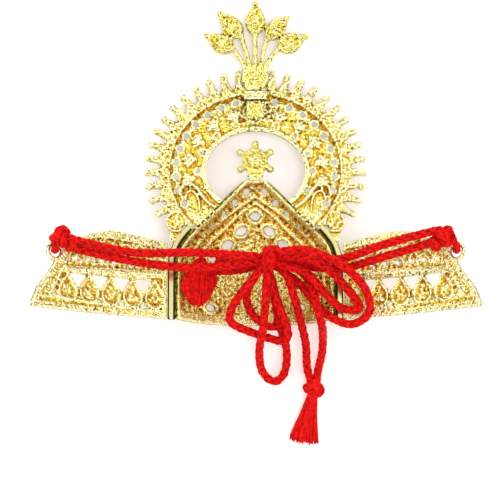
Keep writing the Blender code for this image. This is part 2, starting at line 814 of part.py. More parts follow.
def keep_out():
    """The room that the centre panel and the rails take out of the halo's lower end."""
    whole = inset_loop(panel_outline(), -(WALL_LEAN + GAP))
    rails = inset_loop(panel_outline(), -(WALL_LEAN + RAIL_WIDTH + 2 * GAP))
    top = RAIL_TOP_SHARE * PANEL_HEIGHT + GAP
    low = [point for point in rails if point[1] < top]
    right = [point for point in low if point[0] > 0]
    left = [point for point in low if point[0] < 0]
    shoulders = [(right[-1][0] - GAP, top), (left[0][0] + GAP, top)]
    return whole, right + shoulders + left


def build_halo(gold):
    holes = []
    for side in (-1, 1):
        for i in range(HALO_DOTS_A_SIDE):
            angle = side * (HALO_DOT_FIRST + i * HALO_DOT_STEP)
            holes.append(ellipse(halo_point(HALO_DOTS, angle), (HALO_DOT_RADIUS,) * 2, 6))
        for i in range(HALO_WINDOWS_A_SIDE):
            angle = side * (HALO_WINDOW_FIRST + i * HALO_WINDOW_STEP)
            holes.append(ellipse(halo_point(HALO_WINDOWS, angle), (HALO_WINDOW_RADIUS,) * 2, 6))
    halo = plate("halo", halo_outline(), -HALO_WALL / 2, HALO_WALL / 2, holes)
    half = HALO_RIM_THICK / 2
    grow = HALO_RIM_WIDTH - HALO_LIP
    inner_rim = (HALO_INNER[0] + grow, HALO_INNER[1] + grow)
    joined = [plate("rim", rim_band(radii, HALO_RIM_WIDTH), -half, half) for radii in (HALO_RIM, inner_rim)]
    for i in range(PETALS):
        angle = (i - (PETALS - 1) / 2) * PETAL_STEP
        if abs(angle) < PETAL_STEP / 2:
            continue
        place = halo_point(PETAL_ROW, angle)
        leaf = pointed_oval(place, PETAL_LONG, PETAL_WIDE, 6, math.pi / 2 - angle)
        joined.append(plate("petal", leaf, -PETAL_THICK / 2, PETAL_THICK / 2))
    for side in (-1, 1):
        place = (side * BEZEL_ACROSS, BEZEL_UP)
        wall = ellipse(place, (BEZEL_RADIUS,) * 2, 16)
        seat = ellipse(place, (BEZEL_RADIUS - BEZEL_WALL,) * 2, 12)
        joined.append(plate("bezel", wall, -BEZEL_FRONT, BEZEL_BACK, [seat]))
        joined.append(plate("floor", wall, -BEZEL_FLOOR, BEZEL_FLOOR))
    deep = TAB_DEPTH + TAB_THICK / 2 + GAP
    for side in (-1, 1):
        middle = side * (STRAP_HALF - STRAP_LEG / 2)
        leg = strip([(middle, STRAP_UP - STRAP_TALL / 2), (middle, STRAP_UP + STRAP_TALL / 2)], STRAP_LEG)
        joined.append(plate("leg", leg, 0.0, deep + STRAP_THICK / 2))
    bar = strip([(-STRAP_HALF, STRAP_UP), (STRAP_HALF, STRAP_UP)], STRAP_TALL)
    joined.append(plate("strap", bar, deep, deep + STRAP_THICK))
    halo = boolean(halo, joined, "UNION")
    for loop, deep in zip(keep_out(), (4 * MM, 5 * MM)):
        halo = boolean(halo, [plate("room", loop, -deep, deep)], "DIFFERENCE")
    slice_and_bend(halo, [], [], lambda x, v, t: Vector((x, v, t)))
    halo.data.materials.append(gold)
    return halo


def plume_point(x, v, t):
    """The plume bent back from the tab at its base, so that its buds face the front squarely."""
    up = v - PLUME_UP
    if up <= 0:
        return Vector((x, v, TAB_DEPTH + t))
    return Vector(
        (
            x,
            PLUME_UP + up * math.cos(PLUME_BEND) - t * math.sin(PLUME_BEND),
            TAB_DEPTH + up * math.sin(PLUME_BEND) + t * math.cos(PLUME_BEND),
        )
    )


def bud_outline(bud):
    foot = Vector(bud["foot"]) * MM
    tip = Vector(bud["tip"]) * MM
    out = (tip - foot).normalized()
    across = Vector((-out.y, out.x))
    length = (tip - foot).length
    right = []
    left = []
    for row in BUD_SHAPE:
        middle = foot + out * (row["along"] * length)
        right.append(tuple(middle - across * (row["half"] * bud["wide"] * MM)))
        left.append(tuple(middle + across * (row["half"] * bud["wide"] * MM)))
    return [(x, v + PLUME_UP) for x, v in right + left[::-1]]


def bud_centre(bud):
    middle = Vector(bud["foot"]).lerp(Vector(bud["tip"]), BUD_STONE_SHARE) * MM
    return middle.x, middle.y + PLUME_UP


def build_plume(gold):
    tab = strip([(0.0, TAB_FOOT_UP), (0.0, PLUME_UP + 1.0 * MM)], 2 * TAB_HALF)
    plume = plate("plume", tab, -TAB_THICK / 2, TAB_THICK / 2)
    top = PLUME_UP + PLUME_BASE_TALL
    base = [
        (-PLUME_BASE_HALF, PLUME_UP),
        (PLUME_BASE_HALF, PLUME_UP),
        (PLUME_NECK_HALF, top),
        (-PLUME_NECK_HALF, top),
    ]
    joined = [plate("base", base, -PLUME_BASE_THICK / 2, PLUME_BASE_THICK / 2)]
    for bud in BUDS:
        joined.append(plate("bud", bud_outline(bud), -BUD_THICK / 2, BUD_THICK / 2))
        root = Vector((bud["root"] * MM, PLUME_BASE_TALL * 0.9))
        foot = Vector(bud["foot"]) * MM
        lead = (Vector(bud["tip"]) * MM - foot).normalized()
        end = foot + lead * (1.2 * MM)
        elbow = foot.lerp(root, 0.4) + Vector((-0.06 * foot.x, 0.0))
        path = [(point.x, point.y + PLUME_UP) for point in (root, elbow, foot, end)]
        joined.append(plate("stem", strip(path, 2 * STEM_HALF), -STEM_HALF, STEM_HALF))
    plume = boolean(plume, joined, "UNION")
    slice_and_bend(plume, [], [PLUME_UP + 0.01 * MM], plume_point)
    plume.data.materials.append(gold)
    return plume


def build_star(gold):
    reach = []
    for i in range(STAR_POINTS):
        angle = math.pi / 2 - math.tau * i / STAR_POINTS
        centre = Vector((0.0, STAR_UP))
        out = Vector((math.cos(angle), math.sin(angle)))
        across = Vector((out.y, -out.x))
        if i == STAR_POINTS / 2:
            foot_up = PANEL_HEIGHT + WALL_LEAN + GAP
            reach += [(STAR_FOOT_HALF, foot_up), (-STAR_FOOT_HALF, foot_up)]
        else:
            tip = centre + out * (STAR_REACH - STAR_BALL)
            for turn in (-75, -25, 25, 75):
                swing = math.radians(turn)
                reach.append(tuple(tip + (out * math.cos(swing) + across * math.sin(swing)) * STAR_BALL))
        between = angle - math.pi / STAR_POINTS
        waist = Vector((math.cos(between), math.sin(between))) * STAR_WAIST
        reach.append(tuple(centre + waist))
    star = plate("star_finial", reach[::-1], -STAR_THICK / 2, STAR_THICK / 2)
    boss = plate("boss", ellipse((0.0, STAR_UP), (STAR_BOSS,) * 2, 12), 0.0, STAR_THICK)
    star = boolean(star, [boss], "UNION")
    star.data.materials.append(gold)
    return star


def build_stone(name, outline, low, place, material):
    """A flat-backed cut stone: a straight girdle, a ring of facets and a table to the front."""
    count = len(outline)
    centre = Vector((sum(p[0] for p in outline) / count, sum(p[1] for p in outline) / count))
    bm = bmesh.new()
    rings = []
    for share, depth in ((1.0, low), (1.0, low - STONE_GIRDLE), (STONE_TABLE_SHARE, low - STONE_TALL)):
        ring = []
        for point in outline:
            flat = centre + (Vector(point) - centre) * share
            ring.append(bm.verts.new((flat.x, flat.y, depth)))
        rings.append(ring)
    for upper, lower in zip(rings, rings[1:]):
        for i in range(count):
            j = (i + 1) % count
            bm.faces.new((upper[i], upper[j], lower[j], lower[i]))
    bm.faces.new(rings[0])
    bm.faces.new(rings[-1])
    bmesh.ops.recalc_face_normals(bm, faces=bm.faces)
    for vert in bm.verts:
        vert.co = place(vert.co.x, vert.co.y, vert.co.z)
    mesh = bpy.data.meshes.new(name)
    bm.to_mesh(mesh)
    bm.free()
    clean(mesh)
    stone = link_new(name, mesh)
    stone.data.materials.append(material)
    return stone


def build_stones(red, clear):
    for word, side in (("left", -1), ("right", 1)):
        for i in range(CUPS):
            outline = drop(cup_foot(i), CUP_WIDE, CUP_TALL, inset=CUP_WALL + STONE_SEAT)
            low = -WING_WALL / 2 - STONE_SEAT
            build_stone(
                f"stone_wing_{word}_{i + 1}",
                outline,
                low,
                lambda s, v, t, side=side: wing_point(side, s, v, t),
                red,
            )
        place = (side * BEZEL_ACROSS, BEZEL_UP)
        radius = BEZEL_RADIUS - BEZEL_WALL - STONE_SEAT
        build_stone(
            f"stone_bezel_{word}",
            ellipse(place, (radius,) * 2, STONE_SIDES),
            -BEZEL_FLOOR - STONE_SEAT,
            lambda x, v, t: Vector((x, v, t)),
            red,
        )
    for i, bud in enumerate(BUDS):
        build_stone(
            f"stone_bud_{i + 1}",
            ellipse(bud_centre(bud), (BUD_STONE_RADIUS,) * 2, STONE_SIDES),
            -BUD_THICK / 2 - STONE_SEAT,
            plume_point,
            clear,
        )
    build_stone(
        "stone_star",
        ellipse((0.0, STAR_UP), (STAR_BOSS - STONE_SEAT,) * 2, STONE_SIDES),
        -STAR_THICK / 2 - STONE_SEAT,
        lambda x, v, t: Vector((x, v, t)),
        clear,
    )


def smooth_route(route, step):
    """Points about step apart along a smooth curve through the route's points."""
    rows = [2 * route[0] - route[1], *route, 2 * route[-1] - route[-2]]
    fine = []
    for i in range(len(route) - 1):
        a, b, c, d = rows[i : i + 4]
        for k in range(16):
            t = k / 16
            bend = (2 * a - 5 * b + 4 * c - d) * t * t + (3 * b - a - 3 * c + d) * t**3
            fine.append((2 * b + (c - a) * t + bend) / 2)
    fine = np.array([*fine, route[-1]])
    run = np.concatenate([[0.0], np.cumsum(np.linalg.norm(np.diff(fine, axis=0), axis=1))])
    count = max(2, round(run[-1] / step))
    places = np.linspace(0.0, run[-1], count + 1)
    return np.column_stack([np.interp(places, run, fine[:, axis]) for axis in range(3)])


def build_tube(name, points):
    curve = bpy.data.curves.new(name, "CURVE")
    curve.dimensions = "3D"
    curve.bevel_depth = CORD_DIAMETER / 2
    curve.bevel_resolution = CORD_SIDES // 2 - 2
    curve.use_fill_caps = True
    spline = curve.splines.new("POLY")
    spline.points.add(len(points) - 1)
    for point, place in zip(spline.points, points):
        point.co = (*place, 1)
    return as_mesh(link_new(name, curve))


def build_lump(name, centre, half):
    bm = bmesh.new()
    bmesh.ops.create_uvsphere(bm, u_segments=LUMP_SEGMENTS, v_segments=LUMP_RINGS, radius=1.0)
    mesh = bpy.data.meshes.new(name)
    bm.to_mesh(mesh)
    bm.free()
    size = Matrix.Diagonal((*[value * MM for value in half], 1.0))
    mesh.transform(Matrix.Translation([value * MM for value in centre]) @ size)
    return link_new(name, mesh)


def build_ring_knot(side, name, lie):
    """The knot over a wing's ring, with the turn of cord that goes through the ring."""

    def placed(row):
        return (side * row[0], row[1], row[2])

    knot = build_lump(name, placed(RING_KNOT["centre"]), RING_KNOT["half"])
    second = build_lump("second", placed(RING_KNOT_SECOND["centre"]), RING_KNOT_SECOND["half"])
    s, v = LOOP_PLACE
    route = [lie @ wing_point(side, s + a * MM, v + b * MM, c * MM) for a, b, c in HITCH]
    turn = build_tube("turn", smooth_route(np.array(route), 1.1 * CORD_DIAMETER))
    return boolean(knot, [second, turn], "UNION")


def build_tassel(row):
    """A tassel: a ring of locks fused to one skirt, on a round head."""
    centre = Vector(row["centre"]) * MM
    end = Vector(row["end"]) * MM
    along = (end - centre).normalized()
    across = Vector(row["across"]).normalized()
    across = (across - along * across.dot(along)).normalized()
    up = along.cross(across)
    length = (end - centre).length
    count = 2 * LOCKS
    bm = bmesh.new()
    rings = []
    for station in TASSEL_STATIONS:
        ring = []
        for i in range(count):
            angle = math.tau * i / count
            lobe = 1 - LOCK_DEPTH * (i % 2)
            ragged = TASSEL_RAGGED * math.sin(7 * angle) * station["along"]
            place = centre + along * (length * (station["along"] + ragged))
            wide = station["width"] * row["width"] * MM * math.cos(angle) * lobe
            thick = station["thick"] * row["thick"] * MM * math.sin(angle) * lobe
            ring.append(bm.verts.new(place + across * wide + up * thick))
        rings.append(ring)
    for upper, lower in zip(rings, rings[1:]):
        for i in range(count):
            j = (i + 1) % count
            bm.faces.new((upper[i], upper[j], lower[j], lower[i]))
    bm.faces.new(rings[0])
    last = sum((vert.co for vert in rings[-1]), Vector()) / count
    middle = bm.verts.new(last)
    for i in range(count):
        bm.faces.new((rings[-1][i], rings[-1][(i + 1) % count], middle))
    bmesh.ops.recalc_face_normals(bm, faces=bm.faces)
    bmesh.ops.triangulate(bm, faces=bm.faces)
    mesh = bpy.data.meshes.new(row["name"])
    bm.to_mesh(mesh)
    bm.free()
    skirt = link_new(row["name"], mesh)
    return boolean(skirt, [build_lump("head", row["centre"], row["half"])], "UNION")


def build_cords(red, lie):
    made = []
    for row in CORDS:
        route = np.array(row["route"]) * MM
        points = smooth_route(route, row["spacing"] * CORD_DIAMETER)
        made.append(build_tube(row["name"], points))
    made.append(build_lump("bow_knot", BOW_KNOT["centre"], BOW_KNOT["half"]))
    for word, side in (("left", -1), ("right", 1)):
        made.append(build_ring_knot(side, f"ring_knot_{word}", lie))
    for row in TASSELS:
        made.append(build_tassel(row))
    for obj in made:
        obj.data.materials.clear()
        obj.data.materials.append(red)


def lay_down():
    """Turn the crown onto its front, until the panel and the halo or the plume's stones touch down."""
    metal = list(collection_named(COLLECTION).objects)
    panel = np.array([v.co for v in bpy.data.objects["centre_panel"].data.vertices])
    above = [obj for obj in metal if obj.name.startswith("stone_bud") or obj.name == "halo"]
    crest = np.array([v.co for obj in above for v in obj.data.vertices])

    def lowest(points, tilt):
        return float((points[:, 2] * math.cos(tilt) - points[:, 1] * math.sin(tilt)).min())

    low = math.radians(5.0)
    high = math.radians(25.0)
    for _ in range(40):
        tilt = (low + high) / 2
        if lowest(crest, tilt) > lowest(panel, tilt):
            low = tilt
        else:
            high = tilt
    turn = Matrix.Rotation(-tilt, 4, "X")
    drop_by = -lowest(panel, tilt)
    lie = Matrix.Translation((0, 0, drop_by)) @ turn
    for obj in metal:
        obj.data.transform(lie)
    return lie


def centre_on_origin():
    """Move everything so that the metal's box stands over the origin."""
    parts = list(collection_named(COLLECTION).objects)
    metal = [obj for obj in parts if obj.data.materials[0].name != "red_cord"]
    points = np.array([v.co for obj in metal for v in obj.data.vertices])
    low = points.min(axis=0)
    high = points.max(axis=0)
    shift = Matrix.Translation((-(low[0] + high[0]) / 2, -(low[1] + high[1]) / 2, -low[2]))
    for obj in parts:
        obj.data.transform(shift)


def main():
    clear_scene()
    gold = make_material("gold_plate", GOLD, 0.28, 1.0)
    red = make_material("red_stone", RED_STONE, 0.12, 0.0)
    clear = make_material("clear_stone", CLEAR_STONE, 0.08, 0.0)
    cord = make_material("red_cord", RED_CORD, 0.75, 0.0)
    build_centre_panel(gold)
    build_halo(gold)
    for word, side in (("left", -1), ("right", 1)):
        build_rail(side, f"rail_{word}", gold)
        build_wing(side, f"wing_{word}", gold)
    build_plume(gold)
    build_star(gold)
    build_stones(red, clear)
    lie = lay_down()
    build_cords(cord, lie)
    centre_on_origin()


main()
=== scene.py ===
# %% [markdown]
# # Deity crown, lying on its front
# A small crown for a temple figure: cast in a cheap white alloy, plated with bright gold, set with glass
# stones on its front and tied on with a red braided cord. It is seen from behind, so the light falls on
# the back of the casting, which is rough and lively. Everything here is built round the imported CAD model,
# which is loaded first and stays where it is.

import json
import math

import bmesh
import bpy
import numpy as np
from mathutils import Matrix, Vector

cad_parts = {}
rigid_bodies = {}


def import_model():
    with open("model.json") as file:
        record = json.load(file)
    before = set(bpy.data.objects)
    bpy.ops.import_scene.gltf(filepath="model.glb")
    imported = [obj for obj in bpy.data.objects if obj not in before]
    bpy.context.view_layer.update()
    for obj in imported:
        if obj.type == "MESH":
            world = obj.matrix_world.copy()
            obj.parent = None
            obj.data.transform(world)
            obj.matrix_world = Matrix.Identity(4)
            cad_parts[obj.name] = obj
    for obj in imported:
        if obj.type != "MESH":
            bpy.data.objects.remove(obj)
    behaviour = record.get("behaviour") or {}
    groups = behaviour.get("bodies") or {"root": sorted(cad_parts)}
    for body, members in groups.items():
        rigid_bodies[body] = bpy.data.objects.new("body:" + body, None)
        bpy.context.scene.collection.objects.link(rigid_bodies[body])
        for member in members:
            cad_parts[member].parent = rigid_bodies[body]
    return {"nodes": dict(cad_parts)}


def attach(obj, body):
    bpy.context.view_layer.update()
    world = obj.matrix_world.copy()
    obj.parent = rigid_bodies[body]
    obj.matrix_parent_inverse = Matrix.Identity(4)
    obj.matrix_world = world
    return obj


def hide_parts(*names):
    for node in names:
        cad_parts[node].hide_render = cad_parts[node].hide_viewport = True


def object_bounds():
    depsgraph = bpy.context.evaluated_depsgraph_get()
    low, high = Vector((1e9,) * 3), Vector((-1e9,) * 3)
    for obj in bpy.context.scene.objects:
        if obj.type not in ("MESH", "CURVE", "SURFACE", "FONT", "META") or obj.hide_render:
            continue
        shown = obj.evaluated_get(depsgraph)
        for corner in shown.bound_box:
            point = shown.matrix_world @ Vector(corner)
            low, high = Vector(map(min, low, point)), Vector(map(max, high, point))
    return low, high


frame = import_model()
bpy.context.view_layer.update()
cad_low, cad_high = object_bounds()
cad_size = [round(1000 * (h - l), 1) for l, h in zip(cad_low, cad_high)]
print(len(frame["nodes"]), "CAD nodes, box in mm:", cad_size)

# %% [markdown]
# ## Two frames of reference
# A crown is easiest to draw standing up and flat: x across, v up the crown, t out of its back. The real
# one is then bent and laid on its front. So each metal piece is first made flat, in millimetres, and one
# function at the end puts its points where the CAD has them.

# %% From the crown's own frame to the row frame
MM = 0.001
TILT = math.radians(12.06904)
DROP = 16.758
SHIFT = -46.696


def lay(points):
    """Points across, up and out of the crown's back, in mm, as places in the row frame, in metres."""
    x, v, w = np.asarray(points, float).T
    along = v * math.cos(TILT) + w * math.sin(TILT) + SHIFT
    above = w * math.cos(TILT) - v * math.sin(TILT) + DROP
    return np.column_stack([x, along, above]) * MM


def from_ground(points):
    """Points across, along and above the ground from the crown's foot, in mm, in the row frame."""
    return (np.asarray(points, float) + [0.0, SHIFT, 0.0]) * MM


print("the crown's foot lies at, mm:", (lay([(0, 0, 0)])[0] / MM).round(1))

# %% [markdown]
# ## The camera
# The photograph is taken from straight above with a long lens, so the crown is hardly foreshortened. At
# 600 mm above the work one pixel of the 488 x 478 frame is 0.30 mm, and the lens follows from that.

# %% Camera
CAMERA_PLACE = (-3.45, 23.91, 615.0)
VIEW_DISTANCE = 600.0
PIXELS_ACROSS = 488
MM_A_PIXEL = 0.30
SENSOR = 36.0
camera_data = bpy.data.cameras.new("camera")
camera_data.sensor_width = SENSOR
camera_data.lens = SENSOR * VIEW_DISTANCE / (PIXELS_ACROSS * MM_A_PIXEL)
camera_data.clip_start = 0.01
camera = bpy.data.objects.new("camera", camera_data)
camera.location = from_ground([CAMERA_PLACE])[0]
bpy.context.scene.collection.objects.link(camera)
bpy.context.scene.camera = camera
print("lens, mm:", round(camera_data.lens, 1))

# %% [markdown]
# ## A few workshop helpers
# Every node tree below, for a shape or for a finish, is written with one small function that adds a node,
# sets it and links it. Colours are given as they look on a screen and turned to linear light once.


# %% Nodes and colours
def colour(code):
    """An sRGB hex colour as linear red, green, blue and alpha."""
    parts = [int(code[i : i + 2], 16) / 255 for i in (0, 2, 4)]
    return (*[c / 12.92 if c <= 0.04045 else ((c + 0.055) / 1.055) ** 2.4 for c in parts], 1.0)


def fill(tree, node, values):
    """A node's inputs set or linked. A node given as a value stands for its first output in use."""
    for name, value in values.items():
        if isinstance(value, bpy.types.Node):
            value = next(socket for socket in value.outputs if socket.enabled)
        if isinstance(value, bpy.types.NodeSocket):
            tree.links.new(value, node.inputs[name])
        else:
            node.inputs[name].default_value = value


def add(tree, kind, *inputs, stops=(), **settings):
    """A new node: settings, inputs in order or named in a dict, and (position, hex) stops of a ramp."""
    made = tree.nodes.new(kind)
    for name, value in settings.items():
        setattr(made, name, value)
    for number, value in enumerate(inputs):
        fill(tree, made, value if isinstance(value, dict) else {number: value})
    for number, (position, code) in enumerate(stops):
        marks = made.color_ramp.elements
        mark = marks[number] if number < 2 else marks.new(position)
        mark.position = position
        mark.color = colour(code)
    return made


def new_material(name):
    """An empty node material with its tree and its shader."""
    material = bpy.data.materials.new(name)
    material.use_nodes = True
    return material, material.node_tree, material.node_tree.nodes["Principled BSDF"]


def plain_finish(name, code, rough, metallic=0.0):
    """An even finish, for a surface that is too smooth, too dark or too pale to show a pattern."""
    material, tree, shader = new_material(name)
    fill(tree, shader, {"Base Color": colour(code), "Roughness": rough, "Metallic": metallic})
    return material


# %% [markdown]
# ## Gold plate on a cast alloy
# The plating is a few microns of gold: too thin to hide anything, so it shows every grain of the casting
# under it. A metal has no colour of its own but tints what it mirrors, and where gold mirrors gold it
# goes orange. Part of that comes by itself from the hollows of the mesh, and the rest is painted, from
# three marks that the skin tree leaves on the mesh: wide hollows get a painted orange reflection, and
# small pits and the steep flanks of each form get painted shade. The finer grain, about 0.4 mm, is a
# bump, since it is near the size of a pixel. Random patches of tone also paint pale highlight specks,
# and small noise spots paint black glints, which stand for dark reflections.

# %% Cast gold plate
GRAIN = 0.42 * MM
MARKS = ("pit", "recess", "flank")
# Random patches of tone, which also paint pale highlight specks.
PATCH_SPREAD, PATCH_FROM = 0.90, -0.15
PIT_GAIN = 4.5
# Painted shade on steep flanks, at most this strong.
FLANK_SHADE = 0.62
RECESS_GAIN = 1.9
# Where the noise is high enough, black glints are painted, standing for dark reflections.
DARK_GLINT_FROM, DARK_GLINT_FULL = 0.575, 0.625
# Painted shade and black glints: white leaves the gold as it is, the dark end is painted shade.
PIT_SHADE_STOPS = ((0.20, "FFFFFF"), (0.45, "DEDE92"), (0.62, "88803A"), (0.80, "161008"))


def cast_gold(name, stops, rough, bump, flecks):
    """Bright gold over a cast skin, with painted shade and reflection. Stops run from the raised parts to
    the widest hollows, whose orange is painted reflection; flecks sets how dark the painted black glints go.
    """
    material, tree, shader = new_material(name)
    place = add(tree, "ShaderNodeTexCoord").outputs["Object"]
    pit, recess, flank = [
        add(tree, "ShaderNodeAttribute", attribute_name=mark).outputs["Fac"] for mark in MARKS
    ]
    patches, holes, grains = [
        add(tree, "ShaderNodeTexNoise", {"Vector": place, "Scale": scale / GRAIN, "Detail": detail})
        for scale, detail in ((0.5, 2.0), (0.8, 2.0), (1.0, 3.0))
    ]
    # Random tone that also paints pale highlight specks where the noise is low.
    tone_and_highlight_patches = add(tree, "ShaderNodeMath", patches, PATCH_SPREAD, PATCH_FROM, operation="MULTIPLY_ADD")
    # Painted reflection: the wider the hollow, the further along the ramp towards orange, as gold mirroring
    # gold.
    wide = add(tree, "ShaderNodeMath", recess, RECESS_GAIN, tone_and_highlight_patches, operation="MULTIPLY_ADD")
    # Painted reflection: noise spots of near black, standing for glints of the dark room.
    dark_glint_range = {"Value": holes, "From Min": DARK_GLINT_FROM, "From Max": DARK_GLINT_FULL, "To Max": flecks}
    dark_glint = add(tree, "ShaderNodeMapRange", dark_glint_range)
    # Painted shade on the steep flanks of each form.
    edge = add(tree, "ShaderNodeMapRange", {"Value": flank, "From Min": 0.3, "To Max": FLANK_SHADE})
    glints_and_flank_shade = add(tree, "ShaderNodeMath", dark_glint, edge, operation="ADD")
    # Painted shade: small pits darkened, plus the black glints and the flank shade.
    painted_shade_amount = add(tree, "ShaderNodeMath", pit, PIT_GAIN, glints_and_flank_shade, operation="MULTIPLY_ADD")
    plated = add(tree, "ShaderNodeValToRGB", wide, stops=stops)
    painted_shade = add(tree, "ShaderNodeValToRGB", painted_shade_amount, stops=PIT_SHADE_STOPS)
    seen = add(tree, "ShaderNodeVectorMath", plated, painted_shade, operation="MULTIPLY")
    bumped = add(tree, "ShaderNodeBump", {"Height": grains, "Strength": 1.0, "Distance": bump * MM})
    fill(tree, shader, {"Base Color": seen, "Normal": bumped, "Metallic": 1.0, "Roughness": rough})
    return material


# %% [markdown]
# ## Five finishes of the metal
# The halo and the wings share one cast gold. The plume and the star are a little deeper in tone, and the
# panel's gold is painted paler and brighter, as painted light for its dim hollow, with fewer painted dark
# glints. The rails are polished, so they are smooth and pale. A near-black finish is painted shade, put in
# the slots and seams where the metal is in shadow.

# %% The metal's finishes
# Ramps from pale gold on the raised parts to orange in the widest hollows; the orange is painted reflection.
GOLD_STOPS = ((0.22, "FFFAC8"), (0.42, "F3E678"), (0.60, "F1CC3C"), (0.88, "EE961C"))
FINE_STOPS = ((0.22, "F6EEA2"), (0.42, "EBDB60"), (0.60, "E6C63C"), (0.88, "E0A428"))
# Painted light: the panel's gold is paler and brighter, to light up its dim hollow.
PANEL_BRIGHTENED_STOPS = ((0.22, "FFFBBC"), (0.42, "FFF08E"), (0.62, "FFD958"), (0.92, "F69424"))
gold_cast = cast_gold("gold_plate_cast", GOLD_STOPS, rough=0.10, bump=0.36, flecks=1.0)
gold_fine = cast_gold("gold_plate_cast_fine", FINE_STOPS, rough=0.10, bump=0.36, flecks=1.0)
# Painted light: brighter gold for the panel's hollow, with fewer painted black glints.
gold_panel_brightened = cast_gold("gold_plate_cast_hollow", PANEL_BRIGHTENED_STOPS, rough=0.16, bump=0.36, flecks=0.7)
gold_polished = plain_finish("gold_plate_polished", "FFF3A4", 0.22, metallic=1.0)
# Near-black, a painted shade for the slots and seams.
dark_shade_finish = plain_finish("bare_dark_alloy", "1E1812", 0.6)
print("metals:", [m.name for m in (gold_cast, gold_fine, gold_panel_brightened, gold_polished, dark_shade_finish)])

# %% [markdown]
# ## Geometry Nodes for what repeats
# Rays, beads, rims and granules repeat, so small trees set them out. Each takes its sizes as named inputs
# and ends in Realize Instances and Set Material, because the export keeps only real mesh.

# %% Trees and how they are run
SOCKETS = {float: "NodeSocketFloat", int: "NodeSocketInt", tuple: "NodeSocketVector"}


def as_object(name, data):
    obj = bpy.data.objects.new(name, data)
    bpy.context.scene.collection.objects.link(obj)
    return obj


def evaluated(obj):
    """The object's shape as plain mesh. The object itself goes."""
    bpy.context.view_layer.update()
    mesh = bpy.data.meshes.new_from_object(obj.evaluated_get(bpy.context.evaluated_depsgraph_get()))
    bpy.data.objects.remove(obj)
    return mesh


def new_tree(name, sizes):
    """A tree with a geometry in and out and one input for each named size."""
    tree = bpy.data.node_groups.new(name, "GeometryNodeTree")
    face = tree.interface
    face.new_socket("Geometry", in_out="OUTPUT", socket_type="NodeSocketGeometry")
    face.new_socket("Geometry", in_out="INPUT", socket_type="NodeSocketGeometry")
    for label, value in sizes.items():
        kind = SOCKETS.get(type(value), "NodeSocketObject")
        socket = face.new_socket(label, in_out="INPUT", socket_type=kind)
        if kind != "NodeSocketObject":
            socket.default_value = value
    face.new_socket("Material", in_out="INPUT", socket_type="NodeSocketMaterial")
    return tree, tree.nodes.new("NodeGroupInput").outputs


def close_tree(tree, last, given):
    """The tree's end: real mesh, with its material."""
    real = add(tree, "GeometryNodeRealizeInstances", last)
    painted = add(tree, "GeometryNodeSetMaterial", {"Geometry": real, "Material": given["Material"]})
    add(tree, "NodeGroupOutput", painted)


def run_tree(tree, mesh, **sizes):
    """The mesh after the tree, as plain mesh. Underscores in a size's name stand for spaces."""
    source = as_object("source", mesh)
    modifier = source.modifiers.new(tree.name, "NODES")
    modifier.node_group = tree
    wanted = {name.replace("_", " "): value for name, value in sizes.items()}
    wanted.setdefault("Material", gold_cast)
    for item in tree.interface.items_tree:
        if item.in_out == "INPUT" and item.name in wanted:
            modifier[item.identifier] = wanted[item.name]
    return evaluated(source)


def uneven(tree, given):
    """A random size about one, apart by the tree's unevenness. Inputs 2 and 3 are its least and most."""
    least, most = [
        add(tree, "ShaderNodeMath", 1.0, given["Unevenness"], operation=way) for way in ("SUBTRACT", "ADD")
    ]
    return add(tree, "FunctionNodeRandomValue", {2: least, 3: most, "Seed": given["Seed"]})


# %% Tree: a wire along lines
wire, given = new_tree("wire along lines", {"Wire radius": 0.3, "Sides": 8})
drawn = add(wire, "GeometryNodeMeshToCurve", given["Geometry"])
section = {"Radius": given["Wire radius"], "Resolution": given["Sides"]}
ring = add(wire, "GeometryNodeCurvePrimitiveCircle", section)
swept = add(wire, "GeometryNodeCurveToMesh", {"Curve": drawn, "Profile Curve": ring, "Fill Caps": True})
close_tree(wire, swept, given)

# %% Tree: beads along lines, each leaning over the line as the turns of a rope do
beads, given = new_tree(
    "beads along lines",
    {"Spacing": 1.1, "Bead size": (1.0, 1.0, 1.0), "Lean": 0.0, "Unevenness": 0.15, "Seed": 1},
)
drawn = add(beads, "GeometryNodeMeshToCurve", given["Geometry"])
places = add(beads, "GeometryNodeCurveToPoints", {"Curve": drawn, "Length": given["Spacing"]}, mode="LENGTH")
heading = add(beads, "ShaderNodeSeparateXYZ", places.outputs["Tangent"])
angle = add(beads, "ShaderNodeMath", heading.outputs["Y"], heading.outputs["X"], operation="ARCTAN2")
leaning = add(beads, "ShaderNodeMath", angle, given["Lean"], operation="ADD")
spin = add(beads, "ShaderNodeCombineXYZ", {"Z": leaning})
share = {"Scale": uneven(beads, given)}
grown = add(beads, "ShaderNodeVectorMath", given["Bead size"], share, operation="SCALE")
grain = add(beads, "GeometryNodeMeshIcoSphere", {"Radius": 1.0, "Subdivisions": 2})
setting = {"Points": places, "Instance": grain, "Rotation": spin, "Scale": grown}
close_tree(beads, add(beads, "GeometryNodeInstanceOnPoints", setting), given)

# %% Tree: copies of one piece at marked places, each with its own turn and size
copies, given = new_tree("copies at places", {"Piece": None})
piece = add(copies, "GeometryNodeObjectInfo", {"Object": given["Piece"]}).outputs["Geometry"]
turn = add(copies, "GeometryNodeInputNamedAttribute", {"Name": "turn"}, data_type="FLOAT")
size = add(copies, "GeometryNodeInputNamedAttribute", {"Name": "size"}, data_type="FLOAT_VECTOR")
spin = add(copies, "ShaderNodeCombineXYZ", {"Z": turn})
setting = {"Points": given["Geometry"], "Instance": piece, "Rotation": spin, "Scale": size}
close_tree(copies, add(copies, "GeometryNodeInstanceOnPoints", setting), given)

